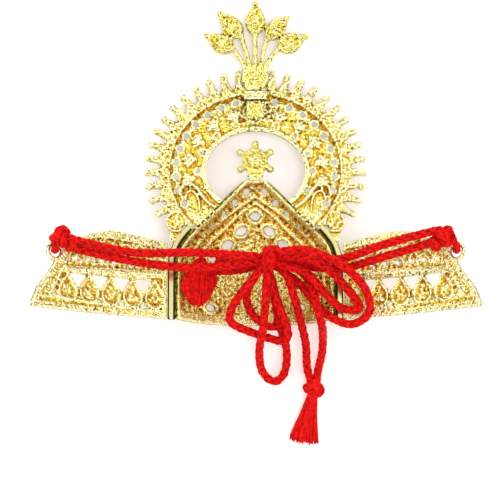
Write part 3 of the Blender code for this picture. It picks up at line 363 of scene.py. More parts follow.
# %% Tree: granules strewn on a face, never closer than their spacing
granules, given = new_tree(
    "granules on a face", {"Spacing": 0.9, "Granule radius": 0.5, "Unevenness": 0.3, "Seed": 1}
)
face = {"Mesh": given["Geometry"], "Seed": given["Seed"]}
apart = {"Distance Min": given["Spacing"], "Density Max": 6.0}
places = add(granules, "GeometryNodeDistributePointsOnFaces", face, apart, distribute_method="POISSON")
grain = add(granules, "GeometryNodeMeshIcoSphere", {"Radius": given["Granule radius"], "Subdivisions": 2})
setting = {"Points": places, "Instance": grain, "Scale": uneven(granules, given)}
close_tree(granules, add(granules, "GeometryNodeInstanceOnPoints", setting), given)

# %% [markdown]
# ## The cast skin
# A sand casting is never smooth: the sand leaves nuggets, and gas leaves hollows. The tree pushes both into
# the whole surface. It also leaves three marks, which the gold turns into painted shade and painted orange
# reflection: how far a point lies below its near neighbours (pit) and below its wider ones (recess), and
# how steep the surface is there (flank).

# %% Tree: small nuggets and hollows, and the marks for the gold
PIT_ROUNDS, RECESS_ROUNDS = 3, 24
skin, given = new_tree(
    "cast skin", {"Grain size": 1.0, "Nugget depth": 0.1, "Hollow depth": 0.2, "Seed": 0.0}
)
here = add(skin, "GeometryNodeInputPosition")
out = add(skin, "GeometryNodeInputNormal")
pitch = add(skin, "ShaderNodeMath", 1.0, given["Grain size"], operation="DIVIDE")
pattern = {"Vector": here, "W": given["Seed"], "Scale": pitch}
cells = add(skin, "ShaderNodeTexVoronoi", pattern, voronoi_dimensions="4D")
cloud = add(skin, "ShaderNodeTexNoise", pattern, {"Detail": 1.0}, noise_dimensions="4D")
nugget = add(skin, "ShaderNodeMath", 0.5, cells, operation="SUBTRACT")
nugget = add(skin, "ShaderNodeMath", nugget, given["Nugget depth"], operation="MULTIPLY")
hollow = add(skin, "ShaderNodeMath", cloud, 0.5, operation="SUBTRACT")
lift = add(skin, "ShaderNodeMath", hollow, given["Hollow depth"], nugget, operation="MULTIPLY_ADD")
moved = add(skin, "ShaderNodeVectorMath", out, {"Scale": lift}, operation="SCALE")
marked = add(skin, "GeometryNodeSetPosition", {"Geometry": given["Geometry"], "Offset": moved})
for label, rounds in (("pit", PIT_ROUNDS), ("recess", RECESS_ROUNDS)):
    blurred = {"Value": here, "Iterations": rounds}
    around = add(skin, "GeometryNodeBlurAttribute", blurred, data_type="FLOAT_VECTOR")
    above = add(skin, "ShaderNodeVectorMath", around, here, operation="SUBTRACT")
    deep = add(skin, "ShaderNodeVectorMath", above, out, operation="DOT_PRODUCT")
    marked = add(skin, "GeometryNodeStoreNamedAttribute", {"Geometry": marked, "Name": label, "Value": deep})
upright = add(skin, "ShaderNodeSeparateXYZ", out).outputs["Z"]
steep = add(skin, "ShaderNodeMath", 1.0, upright, operation="SUBTRACT")
marked = add(skin, "GeometryNodeStoreNamedAttribute", {"Geometry": marked, "Name": "flank", "Value": steep})
close_tree(skin, marked, given)
print("trees:", [tree.name for tree in (wire, beads, copies, granules, skin)])

# %% [markdown]
# ## Flat shapes
# A caster carves a master flat and bends the wax. The same is done here: outlines are lists of points
# across and up, a plate is a filled curve with its holes, and a line is a path for wires and beads.


# %% Outlines, in mm
def circle(centre, radius, sides):
    turns = [math.tau * i / sides for i in range(sides)]
    return [(centre[0] + radius * math.cos(a), centre[1] + radius * math.sin(a)) for a in turns]


def trapezoid(foot_half, foot, top_half, top, middle=0.0):
    """Four corners, from the foot's half width and height to the top's."""
    below = [(middle - foot_half, foot), (middle + foot_half, foot)]
    return below + [(middle + top_half, top), (middle - top_half, top)]


def pointed_oval(centre, long, wide, sides, turn=0.0):
    """An oval with a point at each end, as a leaf or an eye has."""
    points = []
    for i in range(sides):
        angle = math.tau * i / sides
        x = long / 2 * math.cos(angle)
        v = wide / 2 * math.sin(angle) * math.sqrt(abs(math.sin(angle)))
        across = centre[0] + x * math.cos(turn) - v * math.sin(turn)
        points.append((across, centre[1] + x * math.sin(turn) + v * math.cos(turn)))
    return points


def drop(foot, wide, tall, sides=21, inset=0.0):
    """A drop, round below and pointed above, standing on foot."""
    radius = wide / 2
    rise = tall - radius
    lean = math.asin(min(0.95, radius / rise))
    small = radius - inset
    points = []
    for i in range(sides):
        angle = lean + (-math.pi - 2 * lean) * i / (sides - 1)
        points.append((foot[0] + small * math.cos(angle), foot[1] + radius + small * math.sin(angle)))
    points.append((foot[0], foot[1] + radius + rise - inset / math.sin(lean)))
    return points


def inset_loop(points, distance):
    """A closed outline that runs anticlockwise, moved inwards by distance."""
    moved = []
    for i, here in enumerate(map(Vector, points)):
        first = (here - Vector(points[i - 1])).normalized()
        second = (Vector(points[(i + 1) % len(points)]) - here).normalized()
        side = Vector((-first.y, first.x))
        mean = (side + Vector((-second.y, second.x))).normalized()
        moved.append(tuple(here + mean * (distance / max(0.35, mean.dot(side)))))
    return moved


def mirrored(points):
    return [(-x, v) for x, v in reversed(points)]


def smooth(route, count, closed=False):
    """Points evenly spaced on a smooth curve through the route's points."""
    route = [np.asarray(p, float) for p in route]
    before, after = 2 * route[0] - route[1], 2 * route[-1] - route[-2]
    rows = [route[-1], *route, route[0], route[1]] if closed else [before, *route, after]
    fine = []
    for i in range(len(rows) - 3):
        a, b, c, d = rows[i : i + 4]
        for t in np.linspace(0.0, 1.0, 16, endpoint=False):
            bend = (2 * a - 5 * b + 4 * c - d) * t * t + (3 * b - a - 3 * c + d) * t**3
            fine.append((2 * b + (c - a) * t + bend) / 2)
    fine = np.array([*fine, rows[-2]])
    run = np.concatenate([[0.0], np.cumsum(np.linalg.norm(np.diff(fine, axis=0), axis=1))])
    places = np.linspace(0.0, run[-1], count + 1)
    made = np.column_stack([np.interp(places, run, fine[:, k]) for k in range(fine.shape[1])])
    return made[:-1] if closed else made


def strip(path, width):
    """The outline of a band of that width along a path."""
    left, right = [], []
    for i, here in enumerate(map(Vector, path)):
        ahead = Vector(path[min(i + 1, len(path) - 1)]) - Vector(path[max(i - 1, 0)])
        side = Vector((-ahead.y, ahead.x)).normalized() * (width / 2)
        left.append(tuple(here + side))
        right.append(tuple(here - side))
    return left + right[::-1]


# %% Plates, wires, granules and strokes, as meshes
def plate(outline, low, high, holes=()):
    """A flat plate from depth low to depth high, with holes through it."""
    curve = bpy.data.curves.new("plate", "CURVE")
    curve.dimensions = "2D"
    curve.fill_mode = "BOTH"
    curve.extrude = (high - low) / 2
    for loop in [outline, *holes]:
        spline = curve.splines.new("POLY")
        spline.points.add(len(loop) - 1)
        for point, place in zip(spline.points, loop):
            point.co = (place[0], place[1], 0, 1)
        spline.use_cyclic_u = True
    mesh = evaluated(as_object("plate", curve))
    mesh.transform(Matrix.Translation((0, 0, (high + low) / 2)))
    return mesh


def lines(paths, depth=0.0, closed=False):
    """Paths as a mesh of edges alone, at one depth where their points have none."""
    places, edges = [], []
    for path in paths:
        first = len(places)
        places += [(p[0], p[1], p[2] if len(p) > 2 else depth) for p in path]
        edges += [(i, i + 1) for i in range(first, len(places) - 1)]
        if closed:
            edges.append((len(places) - 1, first))
    mesh = bpy.data.meshes.new("lines")
    mesh.from_pydata(places, edges, [])
    return mesh


def wires(paths, radius, depth=0.0, closed=False, **more):
    return run_tree(wire, lines(paths, depth, closed), Wire_radius=radius, **more)


def strewn_on(face, spacing, radius, seed, apart=0.4):
    return run_tree(granules, face, Spacing=spacing, Granule_radius=radius, Unevenness=apart, Seed=seed)


def granulated(outline, depth, spacing, radius, seed, apart=0.4, holes=()):
    """Granules over an outline at that depth, but not on its holes."""
    return strewn_on(plate(outline, depth, depth + 0.001, holes), spacing, radius, seed, apart)


def strokes(rows, depth, spacing, width, lean, seed):
    """Short slanting beads along rows, as the turns of a rope."""
    sizes = {"Spacing": spacing, "Bead_size": (0.62, width, 0.42), "Lean": lean, "Unevenness": 0.3}
    return run_tree(beads, lines(rows, depth), Seed=seed, **sizes)


# %% Solid shapes, as meshes
def as_mesh(bm):
    mesh = bpy.data.meshes.new("shape")
    bm.to_mesh(mesh)
    bm.free()
    return mesh


def joined(meshes):
    """Several meshes as one."""
    bm = bmesh.new()
    for mesh in meshes:
        bm.from_mesh(mesh)
    return as_mesh(bm)


def ball(centre, radii):
    """A round lump, as a mesh."""
    bm = bmesh.new()
    bmesh.ops.create_icosphere(bm, subdivisions=3, radius=1.0)
    mesh = as_mesh(bm)
    mesh.transform(Matrix.Translation(centre) @ Matrix.Diagonal((*radii, 1.0)))
    return mesh


def spindle(stations, sides=12):
    """A closed round bar along v: rows of (v, half width, half thickness)."""
    bm = bmesh.new()
    rings = []
    for v, wide, thick in stations:
        turns = [math.tau * i / sides for i in range(sides)]
        rings.append([bm.verts.new((wide * math.cos(a), v, thick * math.sin(a))) for a in turns])
    for lower, upper in zip(rings, rings[1:]):
        for i in range(sides):
            j = (i + 1) % sides
            bm.faces.new((lower[i], upper[i], upper[j], lower[j]))
    bm.faces.new(rings[0])
    bm.faces.new(rings[-1][::-1])
    bmesh.ops.recalc_face_normals(bm, faces=bm.faces)
    return as_mesh(bm)


def set_on_places(rows, piece):
    """Copies of the piece on rows of (x, v, t, turn, size x, size v, size t)."""
    marks = bpy.data.meshes.new("places")
    marks.from_pydata([row[:3] for row in rows], [], [])
    marks.attributes.new("turn", "FLOAT", "POINT").data.foreach_set("value", [row[3] for row in rows])
    sizes = [value for row in rows for value in row[4:7]]
    marks.attributes.new("size", "FLOAT_VECTOR", "POINT").data.foreach_set("vector", sizes)
    model = as_object("piece", piece)
    made = run_tree(copies, marks, Piece=model)
    bpy.data.objects.remove(model)
    return made


# %% [markdown]
# ## Casting: many shapes, one skin
# In a casting everything that was carved or soldered on the master runs together, with small fillets and
# no seams. A voxel remesh does the same to a heap of overlapping shapes: it keeps only the outside and
# rounds each join. The cell is about 0.25 mm, just under a pixel, and the skin tree then roughens the
# surface. What has to stay open, such as a trough, is left out of the sheets before they are run together.


# %% Fuse, roughen, bend and lay down
def fused(meshes, cell, cutters=()):
    """The meshes run together into one closed skin, with the cutters taken out of it."""
    heap = as_object("heap", joined(meshes))
    remesh = heap.modifiers.new("run together", "REMESH")
    remesh.mode = "VOXEL"
    remesh.voxel_size = cell
    ease = heap.modifiers.new("ease", "SMOOTH")
    ease.factor = 0.5
    ease.iterations = 1
    mesh = evaluated(heap)
    for cutter in cutters:
        body = as_object("body", mesh)
        tool = as_object("tool", cutter)
        cut = body.modifiers.new("cut", "BOOLEAN")
        cut.operation = "DIFFERENCE"
        cut.solver = "EXACT"
        cut.object = tool
        mesh = evaluated(body)
        bpy.data.objects.remove(tool)
    return mesh


def finished(name, mesh, settle, material, nodes):
    """A finished piece: its points settled in the row frame, its material on, the frame told."""
    flat = np.zeros(len(mesh.vertices) * 3)
    mesh.vertices.foreach_get("co", flat)
    places = settle(flat.reshape(-1, 3))
    mesh.vertices.foreach_set("co", places.ravel())
    mesh.materials.clear()
    mesh.materials.append(material)
    mesh.shade_smooth()
    mesh.update()
    obj = as_object(name, mesh)
    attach(obj, "root")
    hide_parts(*nodes)
    low, high = [(corner / MM).round(1).tolist() for corner in (places.min(0), places.max(0))]
    print(name, len(mesh.polygons), "faces, from", low, "to", high, "mm, for", nodes)
    return obj


def cast(name, mesh, bend, material, node, nugget=0.10, hollow=0.22, grain=0.9, seed=1.0, turned_over=False):
    """A finished metal piece: skin roughened, then bent by bend to the crown's plan and laid down."""
    if nugget or hollow:
        sizes = {"Grain_size": grain, "Nugget_depth": nugget, "Hollow_depth": hollow, "Seed": seed}
        mesh = run_tree(skin, mesh, Material=material, **sizes)
    if turned_over:
        mesh.flip_normals()
    return finished(name, mesh, lambda flat: lay(bend(*flat.T)), material, [node])


def smooth_metal(name, mesh, material, node):
    """A finished piece of flat metal that was filed, or a near-black piece of painted shade, so it has no
    cast skin.
    """
    return cast(name, mesh, flat_bend, material, node, nugget=0, hollow=0)


def flat_bend(x, v, t):
    """No bend at all, for pieces that are cast flat."""
    return np.column_stack([x, v, t])


# %% [markdown]
# ## The halo
# An oval ring that stood behind the head. Its outer band carries 28 rays with a ball at each tip, the band
# drops inwards in a steep step that looks orange, and inside the step lies a field of fan leaves, beads
# and small round holes. A strap for the plume is soldered on above, a round bezel at each lower end.

# %% Halo: sizes and places
HALO_UP = 45.6
HALO_END = 150.0
HALO_OUTER = (28.6, 26.0)
HALO_STEP_EDGE = (25.95, 23.95)
HALO_INNER = (15.0, 12.4)
RAY_TIP = (32.8, 31.0)
RAY_FOOT = (26.4, 23.9)
RAYS_A_SIDE = 14
RAY_FIRST, RAY_STEP = 9.2, 8.2
RAY_LONG = 6.6
DOTS = (24.2, 22.0)
DOTS_A_SIDE = 10
DOT_FIRST, DOT_STEP = 14.0, 11.5
WINDOWS = (17.4, 14.7)
WINDOWS_A_SIDE = 5
WINDOW_FIRST, WINDOW_STEP = 20.0, 23.5
BEADS = (24.0, 21.8)
BEAD_FIRST = 19.75
BEZEL = (23.9, 29.6)


def on_halo(radii, degrees, depth=0.0):
    """A point of an oval about the halo's centre, turned from its top."""
    angle = math.radians(degrees)
    return (radii[0] * math.sin(angle), HALO_UP + radii[1] * math.cos(angle), depth)


def halo_arc(radii, first, last, count, depth=0.0):
    return [on_halo(radii, first + (last - first) * i / count, depth) for i in range(count + 1)]


def halo_band(outer, inner, low, high, holes=()):
    outline = halo_arc(outer, HALO_END, -HALO_END, 96) + halo_arc(inner, -HALO_END, HALO_END, 96)
    return plate(outline, low, high, holes)


def both_sides(rows):
    return [*rows, *[(-r[0], r[1], r[2], -r[3], *r[4:]) for r in rows]]


def leaning_of(way):
    """The turn that lays a piece drawn along v in that direction."""
    return math.atan2(way.y, way.x) - math.pi / 2


# %% Halo: holes through it, and one ray
dots, windows = [], []
for side in (-1, 1):
    dots += [on_halo(DOTS, side * (DOT_FIRST + DOT_STEP * i)) for i in range(DOTS_A_SIDE)]
    windows += [on_halo(WINDOWS, side * (WINDOW_FIRST + WINDOW_STEP * i)) for i in range(WINDOWS_A_SIDE)]
beside_tab = [(2.75, 61.0), (6.6, 61.0), (6.0, 64.6), (4.6, 66.0), (4.3, 67.4), (2.75, 67.4)]
troughs = [beside_tab, mirrored(beside_tab)]
holes = [circle(p, 0.95, 14) for p in dots] + [circle(p, 0.9, 16) for p in windows]
ray_bar = joined(
    [
        spindle([(0.0, 2.2, 1.0), (2.2, 2.15, 1.2), (3.2, 1.6, 1.1), (4.2, 1.2, 1.0), (6.5, 0.95, 0.9)], 6),
        ball((0.0, RAY_LONG, 0.05), (1.15, 1.15, 1.05)),
        ball((0.35, 4.9, 0.45), (0.7, 0.8, 0.75)),
        ball((-0.45, 3.3, 0.6), (0.75, 0.8, 0.75)),
        ball((0.7, 1.9, 0.6), (0.8, 0.7, 0.7)),
    ]
)
ray_edge = [(1.9, 2.0), (0.9, 4.0), (0.75, 6.8), (-0.75, 6.8), (-0.9, 4.0), (-1.9, 2.0)]
ray_face = plate([(-1.9, 0.0), (1.9, 0.0), *ray_edge], 0.95, 0.951)
rays = []
for i in range(RAYS_A_SIDE):
    degrees = RAY_FIRST + RAY_STEP * i
    foot = Vector(on_halo(RAY_FOOT, degrees))
    out = Vector(on_halo(RAY_TIP, degrees)) - foot
    rays.append((foot.x, foot.y, 0.0, leaning_of(out), 1.0, out.length / RAY_LONG, 1.0))
print("halo: holes", len(holes), "rays", 2 * len(rays))

# %% Halo: its sheets, bands and rays
halo_parts = [
    halo_band(HALO_OUTER, HALO_INNER, -0.6, -0.3, holes + troughs),
    plate(trapezoid(7.0, 60.6, 5.2, 67.8), -1.3, -0.85),
    halo_band((25.2, 23.05), HALO_INNER, -0.4, -0.05, holes + troughs),
    halo_band((28.2, 25.5), HALO_STEP_EDGE, -0.3, 0.85),
    halo_band((16.1, 13.5), HALO_INNER, -0.6, 0.65),
    set_on_places(both_sides(rays), ray_bar),
    strewn_on(set_on_places(both_sides(rays), ray_face), 1.0, 0.5, seed=2),
    wires([halo_arc((15.25, 12.65), -HALO_END, HALO_END, 120, 0.65)], 0.28),
    wires([halo_arc((16.3, 13.7), -HALO_END, HALO_END, 120, 0.5)], 0.24),
]
print("halo: sheets, bands and rays", len(halo_parts))

# %% [markdown]
# ## The halo's field
# Behind each stone of the front there is a fan leaf here: five ribs spread from a bead. Between the fans
# the caster left granules. The rims round the small holes are a little raised.

# %% Halo: fan leaves, hole rims and granules
FAN_HEART = (18.9, 16.4)
FAN_TIP = (22.8, 20.7)
FAN_STEP = 20.0
RIB_SPREAD = 0.42
rib = spindle([(0.0, 0.2, 0.3), (0.5, 0.36, 0.6), (1.8, 0.5, 0.8), (2.9, 0.6, 0.8), (3.6, 0.4, 0.5)])
rim = wires([circle((0, 0), 1.0, 14)], 0.26, closed=True)
ribs = []
for fan in (-5, -4, -3, -2, -1, 1, 2, 3, 4, 5):
    heart = Vector(on_halo(FAN_HEART, fan * FAN_STEP + 2.0))
    turn = leaning_of(Vector(on_halo(FAN_TIP, fan * FAN_STEP)) - heart)
    for j in range(-2, 3):
        long, tall = 1.12 - 0.10 * abs(j), 1.6 - 0.15 * abs(j)
        ribs.append((heart.x, heart.y, 0.15, turn - j * RIB_SPREAD, 1.0, long, tall))
    halo_parts.append(ball((heart.x, heart.y, 0.3), (0.95, 0.95, 0.8)))
rims = [(p[0], p[1], 0.05, 0.0, 1.2, 1.2, 0.8) for p in dots]
rims += [(p[0], p[1], 0.2, 0.0, 1.15, 1.15, 1.2) for p in windows]
for side in (-1, 1):
    for i in range(DOTS_A_SIDE):
        place = on_halo(BEADS, side * (BEAD_FIRST + DOT_STEP * i))
        halo_parts.append(ball(place, (0.85, 0.75, 0.7)))
field = halo_arc((22.7, 20.5), 148, -148, 60) + halo_arc((16.6, 14.0), -148, 148, 60)
bare = [circle(p, 1.4, 12) for p in windows] + troughs
halo_parts += [
    set_on_places(ribs, rib),
    set_on_places(rims, rim),
    granulated(field, -0.05, 0.95, 0.55, seed=3, holes=bare),
]
print("halo: ribs", len(ribs), "rims", len(rims))

# %% [markdown]
# ## Bezels, leaf arches and the strap
# A leaf arches over each bezel and runs down to the panel's shoulder. The strap is a flat bridge on two
# legs, and the plume's tab goes under it.

# %% Halo: bezels and leaf arches
BEZEL_REACH = 3.3
leaf_arch = [
    (-22.8, 37.6), (-22.3, 40.3), (-19.9, 41.5), (-17.7, 40.1), (-15.9, 37.4), (-13.7, 35.2), (-11.8, 34.0),
]
leaf_inner = [(-21.4, 36.3), (-20.5, 38.9), (-18.7, 39.0), (-17.2, 36.5), (-16.9, 33.0)]
for side in (-1, 1):
    for path, count, radius, depth in ((leaf_arch, 40, 0.62, 0.75), (leaf_inner, 30, 0.38, 0.6)):
        halo_parts.append(wires([[(-side * x, v, depth) for x, v in smooth(path, count)]], radius))
    place = (side * BEZEL[0], BEZEL[1])
    wall = circle(place, BEZEL_REACH, 32)
    bridge = [(side * 21.8, 30.6), (side * 26.2, 29.6), (side * 25.8, 23.6), (side * 23.0, 23.6)]
    halo_parts += [
        plate(wall, -0.5, 0.5),
        plate(wall, -1.5, 1.0, [circle(place, 2.6, 32)]),
        wires([circle(place, 2.95, 32)], 0.4, 1.0, closed=True),
        granulated(circle(place, 2.3, 24), 0.5, 0.9, 0.5, seed=5 + side, apart=0.3),
        plate(bridge, -0.7, 0.2),
    ]

# %% Halo: the strap
STRAP_HALF = 3.4
STRAP_FOOT, STRAP_HEAD = 67.3, 70.0
halo_parts += [
    plate(trapezoid(STRAP_HALF, STRAP_FOOT, STRAP_HALF, STRAP_HEAD), 2.6, 3.4),
    plate(trapezoid(4.9, 68.6, 4.7, 73.0), -0.6, 0.0),
]
for side in (-1, 1):
    halo_parts += [
        plate(trapezoid(0.35, STRAP_FOOT, 0.35, STRAP_HEAD, side * 3.1), 0.0, 2.8),
        ball((side * 3.0, 68.6, 3.0), (0.7, 1.25, 0.85)),
    ]
print("halo: shapes in the heap", len(halo_parts))

# %% [markdown]
# ## Room for the panel and the rails
# The halo stops just short of the centre panel. The panel's outline, a little grown, is cut out of it. Thin
# near-black strips above and below the strap are painted shade.

# %% The centre panel's outline and the halo's keep-out
PANEL_HALF = 23.6
PANEL_HEIGHT = 42.8
PANEL_SHARES = [
    (1.0, 0.0), (1.0, 0.4), (0.99, 0.45), (0.945, 0.52),
    (0.87, 0.58), (0.775, 0.64), (0.59, 0.738), (0.405, 0.844),
]
APEX_HALF = 3.0
RAIL_GAP = 1.05
RAIL_WIDTH = 1.2
RAIL_TOP = 0.66 * PANEL_HEIGHT
ROOM = 0.3


def panel_outline(grow=0.0):
    right = [(a * PANEL_HALF, b * PANEL_HEIGHT) for a, b in PANEL_SHARES] + [(APEX_HALF, PANEL_HEIGHT)]
    return inset_loop(right + mirrored(right), -grow) if grow else right + mirrored(right)


rails_out = [p for p in panel_outline(RAIL_GAP + RAIL_WIDTH + ROOM) if p[1] < RAIL_TOP + ROOM]
right_out = [p for p in rails_out if p[0] > 0]
left_out = [p for p in rails_out if p[0] < 0]
shoulders = [(right_out[-1][0] - ROOM, RAIL_TOP + ROOM), (left_out[0][0] + ROOM, RAIL_TOP + ROOM)]
rooms = [plate(panel_outline(ROOM), -4, 4), plate(right_out + shoulders + left_out, -5, 5)]
halo_mesh = fused(halo_parts, 0.26, rooms)
# Painted shade: near-black strips in the gaps above and below the strap.
strap_seams = [
    plate(trapezoid(2.8, 69.95, 2.8, 70.3), 2.2, 2.9),
    plate(trapezoid(3.0, 67.0, 3.0, 67.35), 2.2, 2.9),
    ball((-3.9, 67.6, 2.4), (0.6, 0.65, 0.5)),
]
smooth_metal("strap_seams", joined(strap_seams), dark_shade_finish, "halo")
cast("halo_cast", halo_mesh, flat_bend, gold_cast, "halo", nugget=0.13, hollow=0.28, seed=1.0)

# %% [markdown]
# ## The wings
# Each wing is one casting that bends back round the head. Seen from behind it has a granulated border with
# rope-like strokes, five deep drop cups whose stones sit on the other side, clean three-cornered gaps
# between them, and a band of scrolls above a double rail. The tie ring is cast on at the outer corner.

# %% Wing: sizes and the bend in plan
WING_LENGTH = 44.5
WING_HEIGHT = 25.3
WING_TURN = (math.radians(22.0), math.radians(38.0))
WING_START = PANEL_HALF + RAIL_GAP + RAIL_WIDTH + 0.3 + 0.5
WING_SHARES = [
    (0.0, 0.0), (0.99, 0.0), (1.0, 0.045), (0.95, 0.245), (0.883, 0.39), (0.79, 0.64), (0.745, 0.76),
    (0.69, 0.84), (0.61, 0.905), (0.53, 0.96), (0.43, 1.0), (0.33, 1.0), (0.2, 0.965), (0.0, 0.915),
]
CUPS = 5
CUP_START, CUP_STEP, CUP_FOOT = 3.9, 7.1, 2.6
CUP_WIDE, CUP_TALL = 6.5, 9.1
EYES, CRESTS = 7, 5
EYE_START, EYE_STEP = 4.6, 4.2
RING_PLACE = (36.6, 17.1)


def wing_bend(side):
    """The wing's arc in plan, as a bend for the left (-1) or right (1) side."""
    radius = WING_LENGTH / (WING_TURN[1] - WING_TURN[0])

    def bend(s, v, t):
        angle = WING_TURN[0] + s / radius
        x = WING_START + radius * (np.sin(angle) - math.sin(WING_TURN[0])) - np.sin(angle) * t
        w = radius * (math.cos(WING_TURN[0]) - np.cos(angle)) + np.cos(angle) * t
        return np.column_stack([side * x, v, w])

    return bend


# %% Wing: outlines of the sheet, its gaps and its eyes
wing_outline = [(a * WING_LENGTH, b * WING_HEIGHT) for a, b in WING_SHARES]
cup_feet = [(CUP_START + i * CUP_STEP, CUP_FOOT) for i in range(CUPS)]
gaps = []
for foot in cup_feet[:-1]:
    middle = foot[0] + CUP_STEP / 2
    gaps.append([(middle, 7.25), (middle + 3.0, 11.15), (middle - 3.0, 11.15)])
    gaps.append([(middle - 1.5, 2.5), (middle + 1.5, 2.5), (middle, 4.2)])
eye_places = [EYE_START + EYE_STEP * i for i in range(EYES)]
eyes = [pointed_oval((x, 15.7), 2.1, 1.5, 14, (-1) ** i * 0.5) for i, x in enumerate(eye_places)]
crests = [circle((8.6 + EYE_STEP * i, 19.6), 0.6, 12) for i in range(CRESTS)]
foot_edge = [(0.6, 2.1), (9, 2.25), (20, 2.6), (30, 3.3), (38.4, 4.4)]
top_edge = [
    (38.4, 4.5), (35.6, 9.5), (32.6, 15.2), (29.4, 20.2), (25.5, 22.2), (20.5, 22.9), (13.8, 22.7),
    (6, 21.9), (0.7, 21.2),
]
inside_line = [*smooth(foot_edge, 30).tolist(), *smooth(top_edge, 50).tolist()]
print("wing: gaps", len(gaps), "eyes", len(eyes) + len(crests))

# %% Wing: sheets and cups
cup_rooms = [drop(foot, CUP_WIDE, CUP_TALL, inset=0.7) for foot in cup_feet]
border_room = [(0.3, 2.0), *inside_line[1:-1], (0.3, 21.2)]
wing_flat = inset_loop(wing_outline, 0.25)
wing_parts = [
    plate(wing_flat, -0.5, -0.15, gaps + eyes + crests),
    plate(wing_flat, -0.3, -0.05, gaps + eyes + crests + cup_rooms),
    plate(wing_outline, -0.9, 0.5, [border_room]),
]
for foot in cup_feet:
    wall = drop(foot, CUP_WIDE, CUP_TALL)
    for inset, top in ((0.55, 0.95), (0.95, 0.5), (1.35, 0.1)):
        wing_parts.append(plate(wall, -1.5, top, [drop(foot, CUP_WIDE, CUP_TALL, inset=inset)]))
    bottom = drop(foot, CUP_WIDE, CUP_TALL, inset=1.7)
    wing_parts.append(granulated(bottom, -0.15, 1.1, 0.72, seed=int(foot[0])))
for loop in gaps:
    wing_parts.append(wires([inset_loop(loop, -0.2)], 0.24, 0.1, closed=True))
print("wing: shapes so far", len(wing_parts))

# %% [markdown]
# ## Border strokes, rails and scrolls
# The border is a rope: short beads that lie slanting over a line, in rows side by side. The scrolls of the
# upper band are bent wires round the eyes, with granules in what is left.

# %% Wing: border, double rail and band
side_rows = [inset_loop(wing_outline, inset)[1:] for inset in (0.55, 1.45)]
side_rows.append(smooth([(38.9, 3.4), (36.6, 8.6), (33.4, 14.6)], 14).tolist())
side_rows.append(smooth([(40.2, 3.0), (37.8, 8.4)], 10).tolist())
foot_rows = [[(0.4, v), (43.0, v + rise)] for v, rise in ((0.5, 0.0), (1.35, 0.2), (2.0, 1.6))]
scrolls = []
for i, x in enumerate(eye_places):
    up = 1 if i % 2 else -1
    low_scroll = [(x - 2.1, 14.2), (x - 1.4, 15.8 + up), (x + 0.2, 17.5)]
    low_scroll += [(x + 1.9, 16.8 - up), (x + 2.1, 14.6)]
    high_scroll = [(x - 1.9, 18.4), (x - 1.3, 20.6), (x + 0.4, 21.6), (x + 1.9, 20.2), (x + 1.8, 18.4)]
    for route in [low_scroll, high_scroll] if 1 <= i <= CRESTS else [low_scroll]:
        scrolls.append(smooth(route, 14))
band = [(0.6, 14.3), (32.2, 13.2), (29.6, 19.6), (25.0, 21.8), (20.5, 22.4), (13.8, 22.2), (0.6, 20.8)]
outer_end = [(35.0, 4.6), (38.0, 4.8), (33.2, 13.2), (33.0, 11.8)]
wing_parts += [
    strokes(side_rows, 0.5, 0.95, 0.36, 0.9, seed=4),
    strokes(foot_rows, 0.5, 0.85, 0.34, 1.0, seed=6),
    wires([inside_line], 0.3, 0.65),
    wires([[(0.3, 13.35), (33.2, 12.2)]], 0.62, 0.35),
    wires([[(0.3, 14.25), (32.8, 13.1)], [(0.3, 12.4), (34.0, 11.3)]], 0.3, 0.35),
    wires([[(0.4, 0.6), (0.4, 22.4)], [(1.3, 2.2), (1.3, 13.0)]], 0.36, 0.45),
    wires([*eyes, *crests], 0.34, 0.15, closed=True),
    wires(scrolls, 0.34, 0.3),
    granulated(band, -0.05, 1.15, 0.5, seed=8, holes=eyes + crests),
    granulated(outer_end, 0.1, 1.1, 0.75, seed=9),
    wires([circle(RING_PLACE, 2.35, 28)], 0.66, closed=True, Sides=12),
]
ring_bore = plate(circle(RING_PLACE, 1.65, 28), -3, 3)
for word, side in (("left", -1), ("right", 1)):
    wing_mesh = fused(wing_parts, 0.25, [ring_bore.copy()])
    turning = {"seed": 2.0 + side, "turned_over": side < 0}
    cast(f"wing_cast_{word}", wing_mesh, wing_bend(side), gold_cast, f"wing_{word}", **turning)

# %% [markdown]
# ## The centre panel
# The deepest part: a shield that stood forward like half a dome. From behind one looks into its hollow,
# where gold mirrors gold, so it is the most orange. A bright edge runs up the gable, with a row of round
# holes below it, then two wires in an arch. All the rest is granules, with a chain of eyes in the middle.

# %% Panel: how far it bulges, and the bend that follows
PANEL_DEPTH = 12.0
PANEL_SHOULDER = PANEL_HEIGHT / 3 - 0.1427
PANEL_FULLNESS = 3
PROBE = 0.4
panel_rows = [(b * PANEL_HEIGHT, a * PANEL_HALF) for a, b in PANEL_SHARES] + [(PANEL_HEIGHT, APEX_HALF)]


def panel_depth(x, v):
    """How far the panel bulges forward of its rim, as a negative depth."""
    across = np.minimum(1.0, np.abs(x) / np.interp(v, *zip(*panel_rows)))
    rise = np.clip((v - PANEL_SHOULDER) / (PANEL_HEIGHT - PANEL_SHOULDER), 0.0, 1.0)
    return -PANEL_DEPTH * np.cos(math.pi / 2 * rise**1.5) * (1 - across**PANEL_FULLNESS)


def panel_bend(x, v, t):
    """Places on the panel, t out along its own normal."""
    slope_x = (panel_depth(x + PROBE, v) - panel_depth(x - PROBE, v)) / (2 * PROBE)
    slope_v = (panel_depth(x, v + PROBE) - panel_depth(x, v - PROBE)) / (2 * PROBE)
    slope_v = np.where(v < PANEL_SHOULDER, 0.0, slope_v)
    long = np.sqrt(slope_x**2 + slope_v**2 + 1)
    return np.column_stack([x - slope_x * t / long, v - slope_v * t / long, panel_depth(x, v) + t / long])


def gable(x):
    """The height of the panel's outline at that distance from the middle."""
    rows = sorted((half, height) for height, half in panel_rows[1:])
    return float(np.interp(x, *zip(*rows)))


